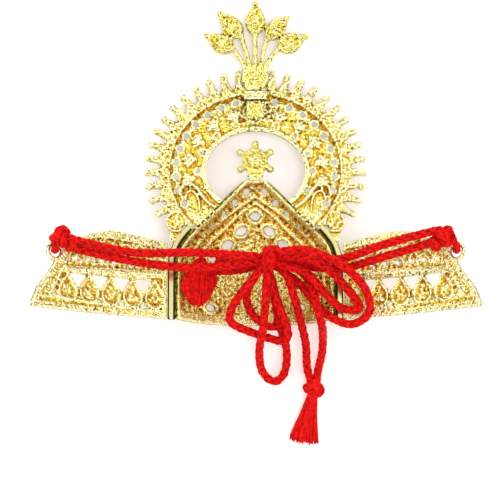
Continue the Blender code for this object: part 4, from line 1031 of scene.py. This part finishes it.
# %% Panel: the chain of eyes, the dots, sheet and rim
eye_rows = [(0.0, 33.2, 3.3, 2.4, 0.0)]
for side in (-1, 1):
    eye_rows += [(side * 4.3 * i, 33.2 - 4.2 * i, 3.6, 2.5, -side * 0.44) for i in range(1, 5)]
    eye_rows.append((side * 13.8, 5.0, 2.8, 1.9, 0.0))
chain = [pointed_oval((x, v), long, wide, 20, turn) for x, v, long, wide, turn in eye_rows]
collars = [pointed_oval((x, v), long + 1.5, wide + 1.3, 24, turn) for x, v, long, wide, turn in eye_rows]
DOTS_ACROSS = [2.7 + 3.4 * i for i in range(5)]
dot_places = [(side * across, gable(across) - 3.2) for side in (-1, 1) for across in DOTS_ACROSS]
dots = [circle(place, 1.0, 14) for place in dot_places]
dot_rims = [circle(place, 1.3, 14) for place in dot_places]
panel_line = panel_outline()
inner = [(x, max(v, 2.9)) for x, v in inset_loop(panel_line, 0.75)]
panel_parts = [
    plate(inset_loop(panel_line, 0.4), -0.6, 0.05, chain + dots),
    plate(panel_line, -0.95, 0.55, [inner]),
    wires([inset_loop(panel_line, 0.4)], 0.36, 0.5, closed=True),
    wires(collars, 0.66, 0.5, closed=True),
    wires(dots, 0.25, 0.05, closed=True),
]
print("panel: eyes", len(chain), "dots", len(dots))

# %% [markdown]
# ## Arches, ribs and granules of the panel
# The two arch wires run parallel to the gable. Short ribs cross between them at the shoulders like the
# rungs of a ladder. The foot is edged with three rows of the same slanting strokes as the wings.

# %% Panel: arches, ladder, field and foot
RUNGS_A_SIDE = 5
high_arch = [(20.9, 3.0), (20.9, 13.0), (19.6, 20.4), (15.6, 26.6), (10.6, 31.4), (5.2, 35.6), (0.0, 38.6)]
low_arch = [(19.4, 3.0), (19.4, 12.4), (18.0, 19.2), (14.4, 24.6), (9.6, 29.3), (4.8, 33.9), (0.0, 36.9)]
arches = []
for row in (high_arch, low_arch):
    right = smooth(row, 44).tolist()
    arches.append(right + mirrored(right)[1:])
rungs = []
for side in (-1, 1):
    for i in range(RUNGS_A_SIDE):
        x, v = 16.6 - 1.3 * i, 26.6 + 1.25 * i
        rungs.append([(side * (x - 0.6), v - 1.0), (side * (x + 1.6), v + 1.7)])
field = [(x, max(v, 3.2)) for x, v in inset_loop(panel_line, 0.8)]
foot_rows = [[(-23.0, v), (23.0, v)] for v in (0.55, 1.4, 2.25)]
panel_parts += [
    wires(arches, 0.42, 0.5),
    wires(rungs, 0.36, 0.55),
    granulated(field, 0.05, 0.95, 0.52, seed=11, apart=0.45, holes=collars + dot_rims),
    strokes(foot_rows, 0.65, 0.85, 0.36, 1.0, seed=12),
    wires([[(-22.8, 2.95), (22.8, 2.95)]], 0.32, 0.5),
]
panel_mesh = fused(panel_parts, 0.28)
panel_skin = {"nugget": 0.16, "hollow": 0.34, "grain": 1.05, "seed": 7.0}
cast("centre_panel_cast", panel_mesh, panel_bend, gold_panel_brightened, "centre_panel", **panel_skin)

# %% [markdown]
# ## The rails
# Two polished strips stand on edge between the panel and the wings, in a deep narrow slot. They are the
# smoothest metal on the crown: one bright line each, with a black line of shade on both sides. Each rail
# gets a flat near-black strip at the bottom of the slot, as painted shade there.

# %% Rails
RAIL_SHADE_WIDTH = 2.3
beside = panel_outline(RAIL_GAP + RAIL_WIDTH / 2)[1 : len(PANEL_SHARES)]
rail_row = [p for p in beside if p[1] < RAIL_TOP]
last, above = Vector(rail_row[-1]), Vector(beside[len(rail_row)])
rail_end = last.lerp(above, (RAIL_TOP - last.y) / (above.y - last.y))
rail_row = smooth([(rail_row[0][0], 0.2), (rail_row[0][0], 9.0), *rail_row, tuple(rail_end)], 40)
for word, side in (("left", -1), ("right", 1)):
    path = [(side * x, v) for x, v in rail_row]
    source = as_object("rail", plate(strip(path, RAIL_WIDTH), -1.5, 1.5))
    rounding = source.modifiers.new("round edge", "BEVEL")
    rounding.width = 0.4
    rounding.segments = 4
    rounding.limit_method = "ANGLE"
    smooth_metal(f"rail_polished_{word}", evaluated(source), gold_polished, f"rail_{word}")
    # Painted shade: a near-black strip under each rail, at the bottom of its slot.
    foot = plate(strip(path, RAIL_SHADE_WIDTH), -2.2, -1.4)
    smooth_metal(f"rail_foot_{word}", foot, dark_shade_finish, f"rail_{word}")

# %% [markdown]
# ## The plume
# Five drop buds on round stems, a flat trapezoid foot and a tab that slips under the strap. The buds lean
# forward to face the front, so they lie a little below the halo here. Their backs are rough and lumpy.

# %% Plume: sizes and the bend at its foot
TAB_DEPTH = 1.85
PLUME_UP = 73.0
PLUME_LEAN = math.radians(12.3)
STEM_ROOT = 4.3
BUDS = (
    {"foot": (-0.1, 14.8), "tip": (0.2, 24.9), "wide": 5.6, "root": 0.0},
    {"foot": (-4.5, 14.2), "tip": (-11.5, 21.8), "wide": 5.3, "root": -1.5},
    {"foot": (3.8, 13.8), "tip": (10.4, 20.2), "wide": 5.2, "root": 1.5},
    {"foot": (-7.1, 10.3), "tip": (-15.5, 14.6), "wide": 5.6, "root": -2.9},
    {"foot": (7.4, 10.5), "tip": (16.0, 14.4), "wide": 5.6, "root": 2.9},
)
BUD_SHAPE = ((0.0, 0.2), (0.1, 0.42), (0.28, 0.55), (0.48, 0.53), (0.7, 0.34), (0.86, 0.16), (0.97, 0.14))


def plume_bend(x, v, t):
    """Flat under the strap, and leaning towards the front above its foot."""
    up = v - PLUME_UP
    above = up > 0
    along = np.where(above, PLUME_UP + up * math.cos(PLUME_LEAN) - t * math.sin(PLUME_LEAN), v)
    deep = np.where(above, TAB_DEPTH + up * math.sin(PLUME_LEAN) + t * math.cos(PLUME_LEAN), TAB_DEPTH + t)
    return np.column_stack([x, along, deep])


def bud_line(bud, share=1.0):
    """A bud's outline, smoothed, with its width scaled by share."""
    foot, tip = Vector(bud["foot"]), Vector(bud["tip"])
    along = tip - foot
    across = Vector((-along.y, along.x)).normalized() * bud["wide"] * share
    right = [foot + along * a - across * h for a, h in BUD_SHAPE]
    left = [foot + along * a + across * h for a, h in BUD_SHAPE]
    return smooth([(p.x, p.y + PLUME_UP) for p in right + left[::-1]], 44, closed=True).tolist()


# %% Plume: buds, stems, foot and tab
plume_parts = [
    plate(trapezoid(2.7, 61.9, 2.7, 74.0), -0.45, 0.4),
    plate(trapezoid(3.0, 70.5, 3.3, 73.2), -0.3, 0.75),
    plate(trapezoid(4.2, 73.0, 3.5, 77.8), -0.9, 0.75),
    wires([[(-3.9, 77.6), (3.9, 77.6)]], 0.36, 0.55),
    wires([[(-4.0, 73.3), (4.0, 73.3)]], 0.36, 0.55),
]
stems = []
for number, bud in enumerate(BUDS):
    foot, tip, root = Vector(bud["foot"]), Vector(bud["tip"]), Vector((bud["root"], STEM_ROOT))
    lead = (tip - foot).normalized()
    elbow = foot.lerp(root, 0.4) + Vector((-0.06 * foot.x, 0.0))
    stems.append(smooth([(p.x, p.y + PLUME_UP) for p in (root, elbow, foot, foot + lead * 1.6)], 16))
    heart = foot.lerp(tip, 0.36)
    knob = tip - lead * 0.9
    plume_parts += [
        plate(bud_line(bud), -1.6, 0.5),
        plate(bud_line(bud, 0.8), 0.4, 1.0),
        granulated(bud_line(bud, 0.82), 0.95, 0.95, 0.55, seed=20 + number, apart=0.45),
        ball((heart.x, heart.y + PLUME_UP, 0.9), (1.5, 1.5, 0.7)),
        ball((knob.x, knob.y + PLUME_UP, 0.0), (0.95, 0.95, 1.0)),
        ball((foot.x, foot.y + PLUME_UP, 0.1), (1.2, 1.2, 1.1)),
    ]
plume_parts.append(wires(stems, 0.78, 0.1, Sides=12))
plume_parts.append(granulated(trapezoid(2.0, 61.6, 2.0, 68.0), 0.4, 0.95, 0.4, seed=26))
cast("plume_cast", fused(plume_parts, 0.24), plume_bend, gold_fine, "plume", seed=9.0)

# %% [markdown]
# ## The star finial
# A six-pointed star with a ball on each free point and a boss that covers the setting of the front's
# stone. Its sixth point is the stem, which is soldered to the panel's flat top.

# %% Star
STAR_FOOT = PANEL_HEIGHT + 1.05
STAR_UP = STAR_FOOT + 4.85
STAR_BALLS = 5.25
centre = (0, STAR_UP)
star_parts = [
    ball((0.0, STAR_UP, 0.6), (2.4, 2.4, 1.2)),
    plate(trapezoid(1.7, PANEL_HEIGHT - 0.5, 1.9, STAR_FOOT + 0.4), -0.9, 1.1),
    plate(trapezoid(2.6, STAR_FOOT, 2.3, STAR_UP - 2.4), -0.9, 0.9),
    plate(circle(centre, 4.0, 24), -0.9, 0.7),
    granulated(circle(centre, 3.5, 24), 0.7, 0.95, 0.5, seed=30, apart=0.3),
]
star_bar = spindle([(0.0, 1.9, 0.9), (3.0, 1.8, 0.9), (4.3, 0.9, 0.7), (5.0, 0.7, 0.6)])
for point in (0, 1, 2, 4, 5):
    angle = -math.tau * point / 6
    bar = star_bar.copy()
    bar.transform(Matrix.Translation((*centre, 0.0)) @ Matrix.Rotation(angle, 4, "Z"))
    out = Vector((-math.sin(angle), math.cos(angle)))
    star_parts += [bar, ball((out.x * STAR_BALLS, STAR_UP + out.y * STAR_BALLS, 0.1), (1.15, 1.15, 1.1))]
cast("star_cast", fused(star_parts, 0.22), flat_bend, gold_fine, "star_finial", seed=11.0)

# %% [markdown]
# ## The stones
# They face the ground here and show only from the sides and the front: flat-backed pressed glass in deep
# red, clear in the buds and the star. The CAD facets are kept as they are and only get their glass.


# %% Stones
def paste_glass(name, light, deep):
    """Pressed glass: faint streaks of two tones under a clear coat."""
    material, tree, shader = new_material(name)
    place = add(tree, "ShaderNodeTexCoord").outputs["Object"]
    streaks = add(tree, "ShaderNodeTexNoise", {"Vector": place, "Scale": 0.4 / MM, "Detail": 1.0})
    tone = add(tree, "ShaderNodeValToRGB", streaks, stops=((0.35, deep), (0.65, light)))
    fill(tree, shader, {"Base Color": tone, "Roughness": 0.04, "IOR": 1.6})
    fill(tree, shader, {"Coat Weight": 1.0, "Coat Roughness": 0.02})
    return material


red_glass = paste_glass("red_paste_glass", "B80F22", "6E0412")
clear_glass = paste_glass("clear_paste_glass", "EEF0F4", "BFC4CC")
stones = [o for o in bpy.data.objects if o.name.startswith("stone_")]
for stone in stones:
    red = "wing" in stone.name or "bezel" in stone.name
    stone.data.materials.clear()
    stone.data.materials.append(red_glass if red else clear_glass)
print("stones:", len(stones))

# %% [markdown]
# ## The red cord
# A soft round braid, 2.6 mm thick, of eight yarns: four wind one way, four the other, and each passes over
# and under the ones it meets. It is limp, so it lies on what is below it. Two strands come from each tie
# ring and meet in a bow. The yarns are made by copying the centre line eight times and pushing each copy
# out along a helix whose radius swells and shrinks where the yarns cross.

# %% Tree: a braid along lines, its centre line measured and copied
YARNS = 8
braid_sizes = {"Cord radius": 1.3, "Pitch": 10.0, "Yarn width": 0.55, "Yarn height": 0.34, "Step": 0.6}
braid, given = new_tree("braid along lines", braid_sizes)
drawn = add(braid, "GeometryNodeMeshToCurve", given["Geometry"])
kept = add(braid, "GeometryNodeResampleCurve", {"Curve": drawn, "Length": given["Step"]}, mode="LENGTH")
marks = (
    ("along", "FLOAT", add(braid, "GeometryNodeSplineParameter").outputs["Length"]),
    ("heading", "FLOAT_VECTOR", add(braid, "GeometryNodeInputTangent")),
    ("upright", "FLOAT_VECTOR", add(braid, "GeometryNodeInputNormal")),
)
for label, kind, value in marks:
    stored = {"Geometry": kept, "Name": label, "Value": value}
    kept = add(braid, "GeometryNodeStoreNamedAttribute", stored, data_type=kind)
yarns = add(braid, "GeometryNodeDuplicateElements", {"Geometry": kept, "Amount": YARNS}, domain="SPLINE")
run, ahead, side_1 = [
    add(braid, "GeometryNodeInputNamedAttribute", {"Name": label}, data_type=kind)
    for label, kind, value in marks
]
side_2 = add(braid, "ShaderNodeVectorMath", ahead, side_1, operation="CROSS_PRODUCT")

# %% Tree: each yarn's turn about the centre line, and its distance from it
YARN_INSET = 0.52
YARN_SWELL = 0.19
index = yarns.outputs["Duplicate Index"]
odd = add(braid, "ShaderNodeMath", index, 2.0, operation="MODULO")
way = add(braid, "ShaderNodeMath", odd, -2.0, 1.0, operation="MULTIPLY_ADD")
pair = add(braid, "ShaderNodeMath", index, 2.0, operation="DIVIDE")
pair = add(braid, "ShaderNodeMath", pair, operation="FLOOR")
start = add(braid, "ShaderNodeMath", pair, math.pi / 2, operation="MULTIPLY")
turned = add(braid, "ShaderNodeMath", run, math.tau, operation="MULTIPLY")
turned = add(braid, "ShaderNodeMath", turned, given["Pitch"], operation="DIVIDE")
angle = add(braid, "ShaderNodeMath", turned, way, start, operation="MULTIPLY_ADD")
swell = add(braid, "ShaderNodeMath", turned, YARNS / 2, operation="MULTIPLY")
swell = add(braid, "ShaderNodeMath", swell, operation="COSINE")
swell = add(braid, "ShaderNodeMath", swell, way, operation="MULTIPLY")
inside = add(braid, "ShaderNodeMath", given["Cord radius"], YARN_INSET, operation="SUBTRACT")
reach = add(braid, "ShaderNodeMath", swell, YARN_SWELL, inside, operation="MULTIPLY_ADD")
share_1, share_2 = [add(braid, "ShaderNodeMath", angle, operation=part) for part in ("COSINE", "SINE")]
part_1 = add(braid, "ShaderNodeVectorMath", side_1, {"Scale": share_1}, operation="SCALE")
part_2 = add(braid, "ShaderNodeVectorMath", side_2, {"Scale": share_2}, operation="SCALE")
out = add(braid, "ShaderNodeVectorMath", part_1, part_2, operation="ADD")
shift = add(braid, "ShaderNodeVectorMath", out, {"Scale": reach}, operation="SCALE")
wound = add(braid, "GeometryNodeSetPosition", {"Geometry": yarns, "Offset": shift})

# %% Tree: the yarns' flat section, with a mark round it for the fine threads and the painted sheen
level = add(braid, "GeometryNodeSetCurveNormal", {"Curve": wound, "Normal": out}, mode="FREE")
ring = add(braid, "GeometryNodeCurvePrimitiveCircle", {"Radius": 1.0, "Resolution": 6})
share_round = add(braid, "GeometryNodeSplineParameter").outputs["Factor"]
around = {"Geometry": ring, "Name": "around", "Value": share_round}
ring = add(braid, "GeometryNodeStoreNamedAttribute", around, data_type="FLOAT")
shape = add(braid, "ShaderNodeCombineXYZ", given["Yarn height"], given["Yarn width"], 1.0)
section = add(braid, "GeometryNodeTransform", {"Geometry": ring, "Scale": shape})
swept = add(braid, "GeometryNodeCurveToMesh", {"Curve": level, "Profile Curve": section, "Fill Caps": True})
close_tree(braid, swept, given)
print("braid tree:", len(braid.nodes), "nodes")

# %% [markdown]
# ## The yarn
# Viscose or cotton yarn, dyed a strong warm red. Its colour is painted lighter on the crown of each yarn, a
# painted sheen, and deep crimson between them, painted shade. Each yarn is a bundle of finer threads, drawn
# by a stripe round its section.

# %% Red yarn
THREADS_ROUND = 9


def red_yarn(name, light, mid, deep, painted_sheen_share):
    """Dyed yarn, with a painted sheen on the crown of each yarn, as strong as the crown share, and painted
    shade between the yarns.
    """
    material, tree, shader = new_material(name)
    place = add(tree, "ShaderNodeTexCoord").outputs["Object"]
    pattern = {"Vector": place, "Scale": 0.9 / MM, "Detail": 3.0, "Roughness": 0.6}
    flecks = add(tree, "ShaderNodeTexNoise", pattern)
    around = add(tree, "ShaderNodeAttribute", attribute_name="around").outputs["Fac"]
    once = add(tree, "ShaderNodeMath", around, math.tau, operation="MULTIPLY")
    # Painted sheen and shade: lighter where the yarn's section faces out, darker where it faces in, plus a
    # random tone.
    crown = add(tree, "ShaderNodeMath", once, operation="COSINE")
    lit = add(tree, "ShaderNodeMath", crown, painted_sheen_share, flecks, operation="MULTIPLY_ADD")
    tone = add(tree, "ShaderNodeValToRGB", lit, stops=((0.30, deep), (0.80, light), (0.58, mid)))
    often = add(tree, "ShaderNodeMath", around, math.tau * THREADS_ROUND, operation="MULTIPLY")
    threads = add(tree, "ShaderNodeMath", often, operation="SINE")
    bumped = add(tree, "ShaderNodeBump", {"Height": threads, "Strength": 0.35, "Distance": 0.06 * MM})
    fill(tree, shader, {"Base Color": tone, "Normal": bumped, "Roughness": 0.62, "Specular IOR Level": 0.12})
    return material


# The three reds: painted sheen, the dye's own red, and painted shade between the yarns.
cord_yarn = red_yarn("red_braided_yarn", "FF1A10", "E00A08", "9A0003", 0.16)
tassel_yarn = red_yarn("red_tassel_yarn", "FA2018", "D8080A", "860004", 0.10)
print("yarns:", cord_yarn.name, tassel_yarn.name)

# %% [markdown]
# ## Where the cord goes
# Four lengths, each from a tie ring through the knot of the bow, round its loop, through the knot again
# and on to its end. Each row is a place across, along and above the ground in mm. Where two lengths cross,
# one rises over the other in a low hump.

# %% Routes of the four lengths
KNOT = (3.9, 18.1, 18.0)
ROUTES = {
    "left_upper": [
        (-54.6, 24.2, 33.0), (-51.5, 23.3, 32.3), (-35.7, 19.9, 26.2), (-18.7, 19.9, 22.5),
        (-1.6, 18.9, 20.8), KNOT,
        (7.6, 20.1, 22.5), (14.6, 20.7, 24), (21.5, 18.4, 25.2), (27.6, 14.5, 25.7), (32.4, 9, 25.4),
        (33.6, 2.2, 23.9), (28.5, -1.4, 21.2), (22.1, 0.8, 18.9), (17.9, 4.7, 14.1), (13.4, 10.3, 13.8),
        (7.7, 14.6, 14.3), KNOT,
        (8.5, 14.7, 17.1), (11.6, 6.4, 15.9), (13.7, -1.2, 11.7), (15.4, -8.4, 6.6), (15.8, -15.2, 3.6),
        (17.3, -20.6, 3.2),
    ],
    "left_lower": [
        (-54.5, 22.6, 31.2), (-51.7, 20.9, 30.2), (-35.5, 17.2, 25.3), (-18.6, 15.4, 21.1),
        (-1.4, 16.8, 18.6), KNOT,
        (8.5, 18.6, 20.2), (15.6, 18.1, 21.6), (21.9, 14.7, 22.4), (26.9, 9.4, 22.7), (31, 3.6, 22.2),
        (25.5, 3.4, 20.2), (20.2, 8.3, 19.5), (15.4, 13.7, 19.8), (8.7, 16, 19.9), KNOT,
        (8, 16.7, 12.2), (13.8, 14.1, 12.6), (17, 9.5, 15.8), (18.3, 3.6, 20.6), (19.8, -1.8, 17.4),
        (20.4, -6, 10.1), (20.3, -10.9, 5.8), (19.2, -16.2, 3.4), (18.6, -20.6, 3.1),
    ],
    "right_upper": [
        (54.6, 26.0, 33.4), (52.7, 26.4, 33), (38.6, 22.6, 27.5), (25.1, 18, 20.9), (9.9, 17.4, 17.7), KNOT,
        (0.4, 13.4, 18.9), (-4.3, 7.7, 17.4), (-7.2, 2.9, 15.3), (-7.8, -0.3, 14.2), (-6, -2.2, 13.2),
        (-1.6, -4.1, 11.4), (2.9, -5.7, 10.1), (8.2, -7, 11.2), (9.8, -5.4, 12), (9, -0.9, 14.4),
        (6.1, 5.6, 15.7), (4.2, 12.9, 16.8), KNOT,
        (3.3, 12.3, 19.5), (2.9, 4.3, 17.3), (2.2, -3.4, 15), (1.2, -9.6, 9.7), (2, -16.2, 3.9),
        (5.7, -19.8, 2.6), (9, -16.9, 2.8), (9.5, -9.6, 5.4), (7.2, -1.8, 9.1), (5.7, 6.3, 9.2),
        (4, 14.2, 11.1), (0.2, 16.8, 14.5), (-6.6, 16.8, 13.2), (-11.9, 17.3, 12),
    ],
    "right_lower": [
        (53.6, 24.2, 31.4), (51.2, 22.9, 30.3), (38.9, 19, 26.2), (25.1, 15.2, 18.7),
        (9.8, 16.5, 14.8), KNOT,
        (0.4, 13.4, 15.9), (-2.7, 7.5, 14.1), (-1, 1.3, 11.8), (4.6, -2.7, 11.2), (8, 0.2, 12.0),
        (6.1, 6.8, 12.8), (4.3, 13.3, 13.9), (1.9, 15.9, 12.0), (-5.8, 14.4, 10.9), (-12.2, 14.2, 9.5),
    ],
}
CORD_PIECES = {
    "left_upper": ["strand_left_upper", "bow_loop_right_outer", "tail_left"],
    "left_lower": ["strand_left_lower", "bow_loop_right_inner", "tail_right"],
    "right_upper": ["strand_right_upper", "bow_loop_left_outer", "drop_loop", "side_tail_upper"],
    "right_lower": ["strand_right_lower", "bow_loop_left_inner", "side_tail_lower"],
}
CORD_RADIUS = 1.32
BRAID_PITCH = 12.5
YARN_WIDTH, YARN_HEIGHT = 0.6, 0.42


def laid_red(name, mesh, material, nodes):
    """A finished red piece, its points turned from ground mm to the row frame."""
    return finished(name, mesh, from_ground, material, nodes)


def braided(paths, radius=CORD_RADIUS, closed=False):
    """The braid along paths, with yarns in step with its radius."""
    shrink = radius / CORD_RADIUS
    sizes = {"Cord_radius": radius, "Pitch": BRAID_PITCH, "Step": 0.6}
    yarn = {"Yarn_width": YARN_WIDTH * shrink, "Yarn_height": YARN_HEIGHT * shrink}
    return run_tree(braid, lines(paths, closed=closed), Material=cord_yarn, **sizes, **yarn)


def length_of(path):
    return float(np.linalg.norm(np.diff(np.asarray(path), axis=0), axis=1).sum())


# %% The four lengths of braid
POINT_SPACING = 1.5
centre_lines, braids = {}, {}
for word, route in ROUTES.items():
    centre_lines[word] = smooth(route, round(length_of(route) / POINT_SPACING))
    braids[word] = laid_red(f"cord_{word}", braided([centre_lines[word]]), cord_yarn, CORD_PIECES[word])
    print(word, "length, mm:", round(length_of(centre_lines[word]), 1))

# %% [markdown]
# ## Knots
# The bow's knot is a wrap that goes up over the strands and down behind them. The knots at the rings and the
# tassels' heads are overhand knots pulled tight: a three-leaved closed curve of the same braid, thick
# enough to fill its own middle.

# %% Knots: their paths
KNOT_POINTS = 60
TURN_POINTS = 40


def overhand(centre, size, axis, turn=0.0):
    """A tight overhand knot as a closed path: three leaves about the axis, size its half width."""
    towards = Vector(axis).normalized().to_track_quat("Z", "Y").to_matrix()
    path = []
    for i in range(KNOT_POINTS):
        a = math.tau * i / KNOT_POINTS
        across, up = math.sin(a) + 2 * math.sin(2 * a), math.cos(a) - 2 * math.cos(2 * a)
        leaf = Vector((across, up, -1.25 * math.sin(3 * a)))
        leaf.rotate(Matrix.Rotation(turn, 3, "Z"))
        path.append(tuple(Vector(centre) + towards @ leaf * (size / 3)))
    return path


def wrap(centre, radii, lean, turns, start=0.0, advance=0.0):
    """A turn of cord in the plane along and above the ground, moving across by advance each turn."""
    path = []
    count = round(TURN_POINTS * turns)
    for i in range(count + 1):
        a = start + math.tau * turns * i / count
        y, z = radii[0] * math.cos(a), radii[1] * math.sin(a)
        path.append((centre[0] + advance * i / TURN_POINTS + lean * y, centre[1] + y, centre[2] + z))
    return path


# %% Knots: the bow's knot, and at each ring two knots and a hitch through the ring
HITCH = (
    (-1.5, 3.4, 3.6), (-0.2, 0.9, 1.9), (0.0, 0.0, 0.0), (-0.2, 0.9, -2.3),
    (-1.2, 3.4, -2.6), (-2.0, 5.3, -1.0), (-2.0, 5.2, 1.4), (-1.7, 4.2, 3.6),
)
RING_HEART = (58.7, 20.6, 30.4)
RING_KNOTS = (("left", -1, (-56.9, 24.6, 32.7), 3.0), ("right", 1, (54.9, 24.9, 32.7), 2.4))
bow_core = ball(KNOT, (2.6, 2.6, 4.6))
bow_path = wrap((KNOT[0] - 1.2, KNOT[1], KNOT[2] + 0.3), (2.9, 5.1), 0.15, 2.1, 0.4, 1.5)
bow_knot = laid_red("knot_bow", joined([bow_core, braided([bow_path], 1.25)]), cord_yarn, ["bow_knot"])
for word, side, place, apart in RING_KNOTS:
    inner = (place[0] - side * apart, place[1] - 2.0, place[2] - 1.2)
    knot = overhand(place, 2.4, (side * 0.5, 0.2, 1.0), 0.4)
    second = overhand(inner, 1.9, (side * 1.0, 0.1, 0.3), 1.0)
    ring = (side * RING_HEART[0], *RING_HEART[1:])
    loop = smooth([(ring[0] + side * a, ring[1] + b, ring[2] + c) for a, b, c in HITCH], 24)
    parts = [braided([knot], 1.2, closed=True), braided([second], 1.1, closed=True), braided([loop], 1.2)]
    parts += [ball(place, (2.1, 2.1, 1.8)), ball(inner, (1.8, 1.8, 1.6))]
    laid_red(f"knot_ring_{word}", joined(parts), cord_yarn, [f"ring_knot_{word}"])

# %% [markdown]
# ## Tassels
# Below its knot the cord's yarns are combed out into a flat fan. Each thread is a thin wire from inside the
# knot to the cut end. They spread with a fixed seed, and their ends are cut a little unevenly.

# %% Tassels: the threads' paths
LOWEST_THREAD = 0.25


def fringe(head, end, across, width, thick, count, seed, flare, rounding, wave=0.25):
    """Threads from a head to a fan's end, with half width and half thickness.

    Flare is the share of the full width that the fan already has at its head, and rounding is how much
    shorter its outer threads are."""
    rng = np.random.default_rng(seed)
    head, end = np.array(head), np.array(end)
    along = end - head
    across = np.array(Vector(across).normalized())
    up = np.cross(across, along / np.linalg.norm(along))
    up *= 1 if up[2] > 0 else -1
    paths = []
    for _ in range(count):
        turn, far = rng.uniform(0, math.tau), math.sqrt(rng.uniform(0, 1))
        u, w = far * math.cos(turn), far * math.sin(turn)
        cut = 1 + rng.normal(0, 0.035) - 0.02 * u - rounding * u * u
        swing, phase = rng.normal(0, wave), rng.uniform(0, math.tau)
        path = []
        for f in np.linspace(0.0, 1.0, 8):
            wide = width * (flare + (1 - flare) * f**1.15)
            tall = thick * (0.85 + 0.35 * math.sin(math.pi * min(1, f * 1.2)) - 0.2 * f)
            aside = u * wide + swing * math.sin(2.5 * f + phase) * f
            point = head + along * f * cut + across * aside + up * (w * tall)
            path.append((point[0], point[1], max(point[2], LOWEST_THREAD)))
        paths.append(path)
    return paths


# %% Tassels: heads and skirts
THREAD_RADIUS = 0.23
HEADS = {"main": ((18.0, -21.5, 3.2), 2.5), "side": ((-16.6, 16.2, 12.6), 1.6)}
FANS = {
    "main": {
        "end": (14.8, -37.8, 1.9), "across": (1.0, -0.2, 0.0), "width": 4.3, "thick": 1.5,
        "count": 210, "seed": 3, "flare": 0.30, "rounding": 0.0,
    },
    "side": {
        "end": (-17.2, 4.2, 14.4), "across": (0.93, 0.1, -0.35), "width": 5.8, "thick": 1.4,
        "count": 200, "seed": 4, "flare": 0.85, "rounding": 0.55,
    },
}
for word, (centre, size) in HEADS.items():
    fan = FANS[word]
    lead = (Vector(fan["end"]) - Vector(centre)).normalized()
    start = Vector(centre) + lead * (size * 0.6)
    threads = wires(fringe(start, **fan), THREAD_RADIUS, Material=tassel_yarn, Sides=5)
    knot = overhand(centre, size, (0.3, 0.3, 1.0), 0.5)
    parts = [braided([knot], 1.2, closed=True), ball(centre, (size * 0.95, size * 0.95, size * 0.85))]
    head = laid_red(f"tassel_{word}_head", joined(parts), cord_yarn, [f"tassel_{word}"])
    skirt = laid_red(f"tassel_{word}_skirt", threads, tassel_yarn, [f"tassel_{word}"])

# %% Each cord's centre line turned to the row frame
for word, obj in braids.items():
    path = from_ground(centre_lines[word])

# %% [markdown]
# ## The table and the light
# The photograph is a bright catalogue shot: near-white ground, almost no shadow, and gold that runs from
# pale yellow to deep orange. Gold shows what stands round it, so the room is bright in bands, with dark
# ones between them that give the metal its contrast. Five weak soft boxes add shape. The white paper is
# matt, and it glows a little by itself, because the photograph's ground is almost white everywhere.

# %% Floor
paper = plain_finish("white_paper", "F4F0F0", 0.9)
glow = {"Emission Color": colour("FFF2EA"), "Emission Strength": 0.34}
fill(paper.node_tree, paper.node_tree.nodes["Principled BSDF"], glow)
floor_mesh = bpy.data.meshes.new("floor")
floor_mesh.from_pydata([(-2, -2, 0), (2, -2, 0), (2, 2, 0), (-2, 2, 0)], [], [(0, 1, 2, 3)])
floor_mesh.materials.append(paper)
floor = as_object("floor", floor_mesh)

# %% The room: bands of light and dark, from the horizon to straight above
ROOM_LIGHT = 0.76
SKY = (
    (0.0, "1C1612"), (1.0, "FFFFFF"), (0.06, "1C1612"), (0.11, "FFF0DC"), (0.26, "FFF0DC"), (0.30, "1C1612"),
    (0.43, "1C1612"), (0.48, "F0EAE6"), (0.86, "FFFDFB"),
)
world = bpy.data.worlds.new("room")
world.use_nodes = True
room = world.node_tree
facing = add(room, "ShaderNodeTexCoord").outputs["Generated"]
height = add(room, "ShaderNodeSeparateXYZ", facing).outputs["Z"]
sky = add(room, "ShaderNodeValToRGB", height, stops=SKY)
fill(room, room.nodes["Background"], {"Color": sky, "Strength": ROOM_LIGHT})
bpy.context.scene.world = world

# %% Soft boxes, aimed at the origin: place, width and height in metres, and power in watts
BOXES = (
    ("box_above", (0.12, -0.02, 0.62), 0.30, 0.24, 1.0),
    ("box_left", (-0.52, 0.05, 0.34), 0.34, 0.30, 1.1),
    ("box_right", (0.55, -0.06, 0.30), 0.34, 0.30, 0.9),
    ("box_back", (-0.08, 0.55, 0.28), 0.40, 0.26, 1.0),
    ("box_front", (0.06, -0.56, 0.26), 0.34, 0.22, 0.6),
)
for name, place, wide, tall, watts in BOXES:
    light = bpy.data.lights.new(name, "AREA")
    light.shape = "RECTANGLE"
    light.size = wide
    light.size_y = tall
    light.energy = watts
    lamp = bpy.data.objects.new(name, light)
    lamp.location = place
    lamp.rotation_euler = (-Vector(place)).to_track_quat("-Z", "Y").to_euler()
    bpy.context.scene.collection.objects.link(lamp)
bpy.context.scene.view_settings.view_transform = "Standard"
print("lights:", len(BOXES))
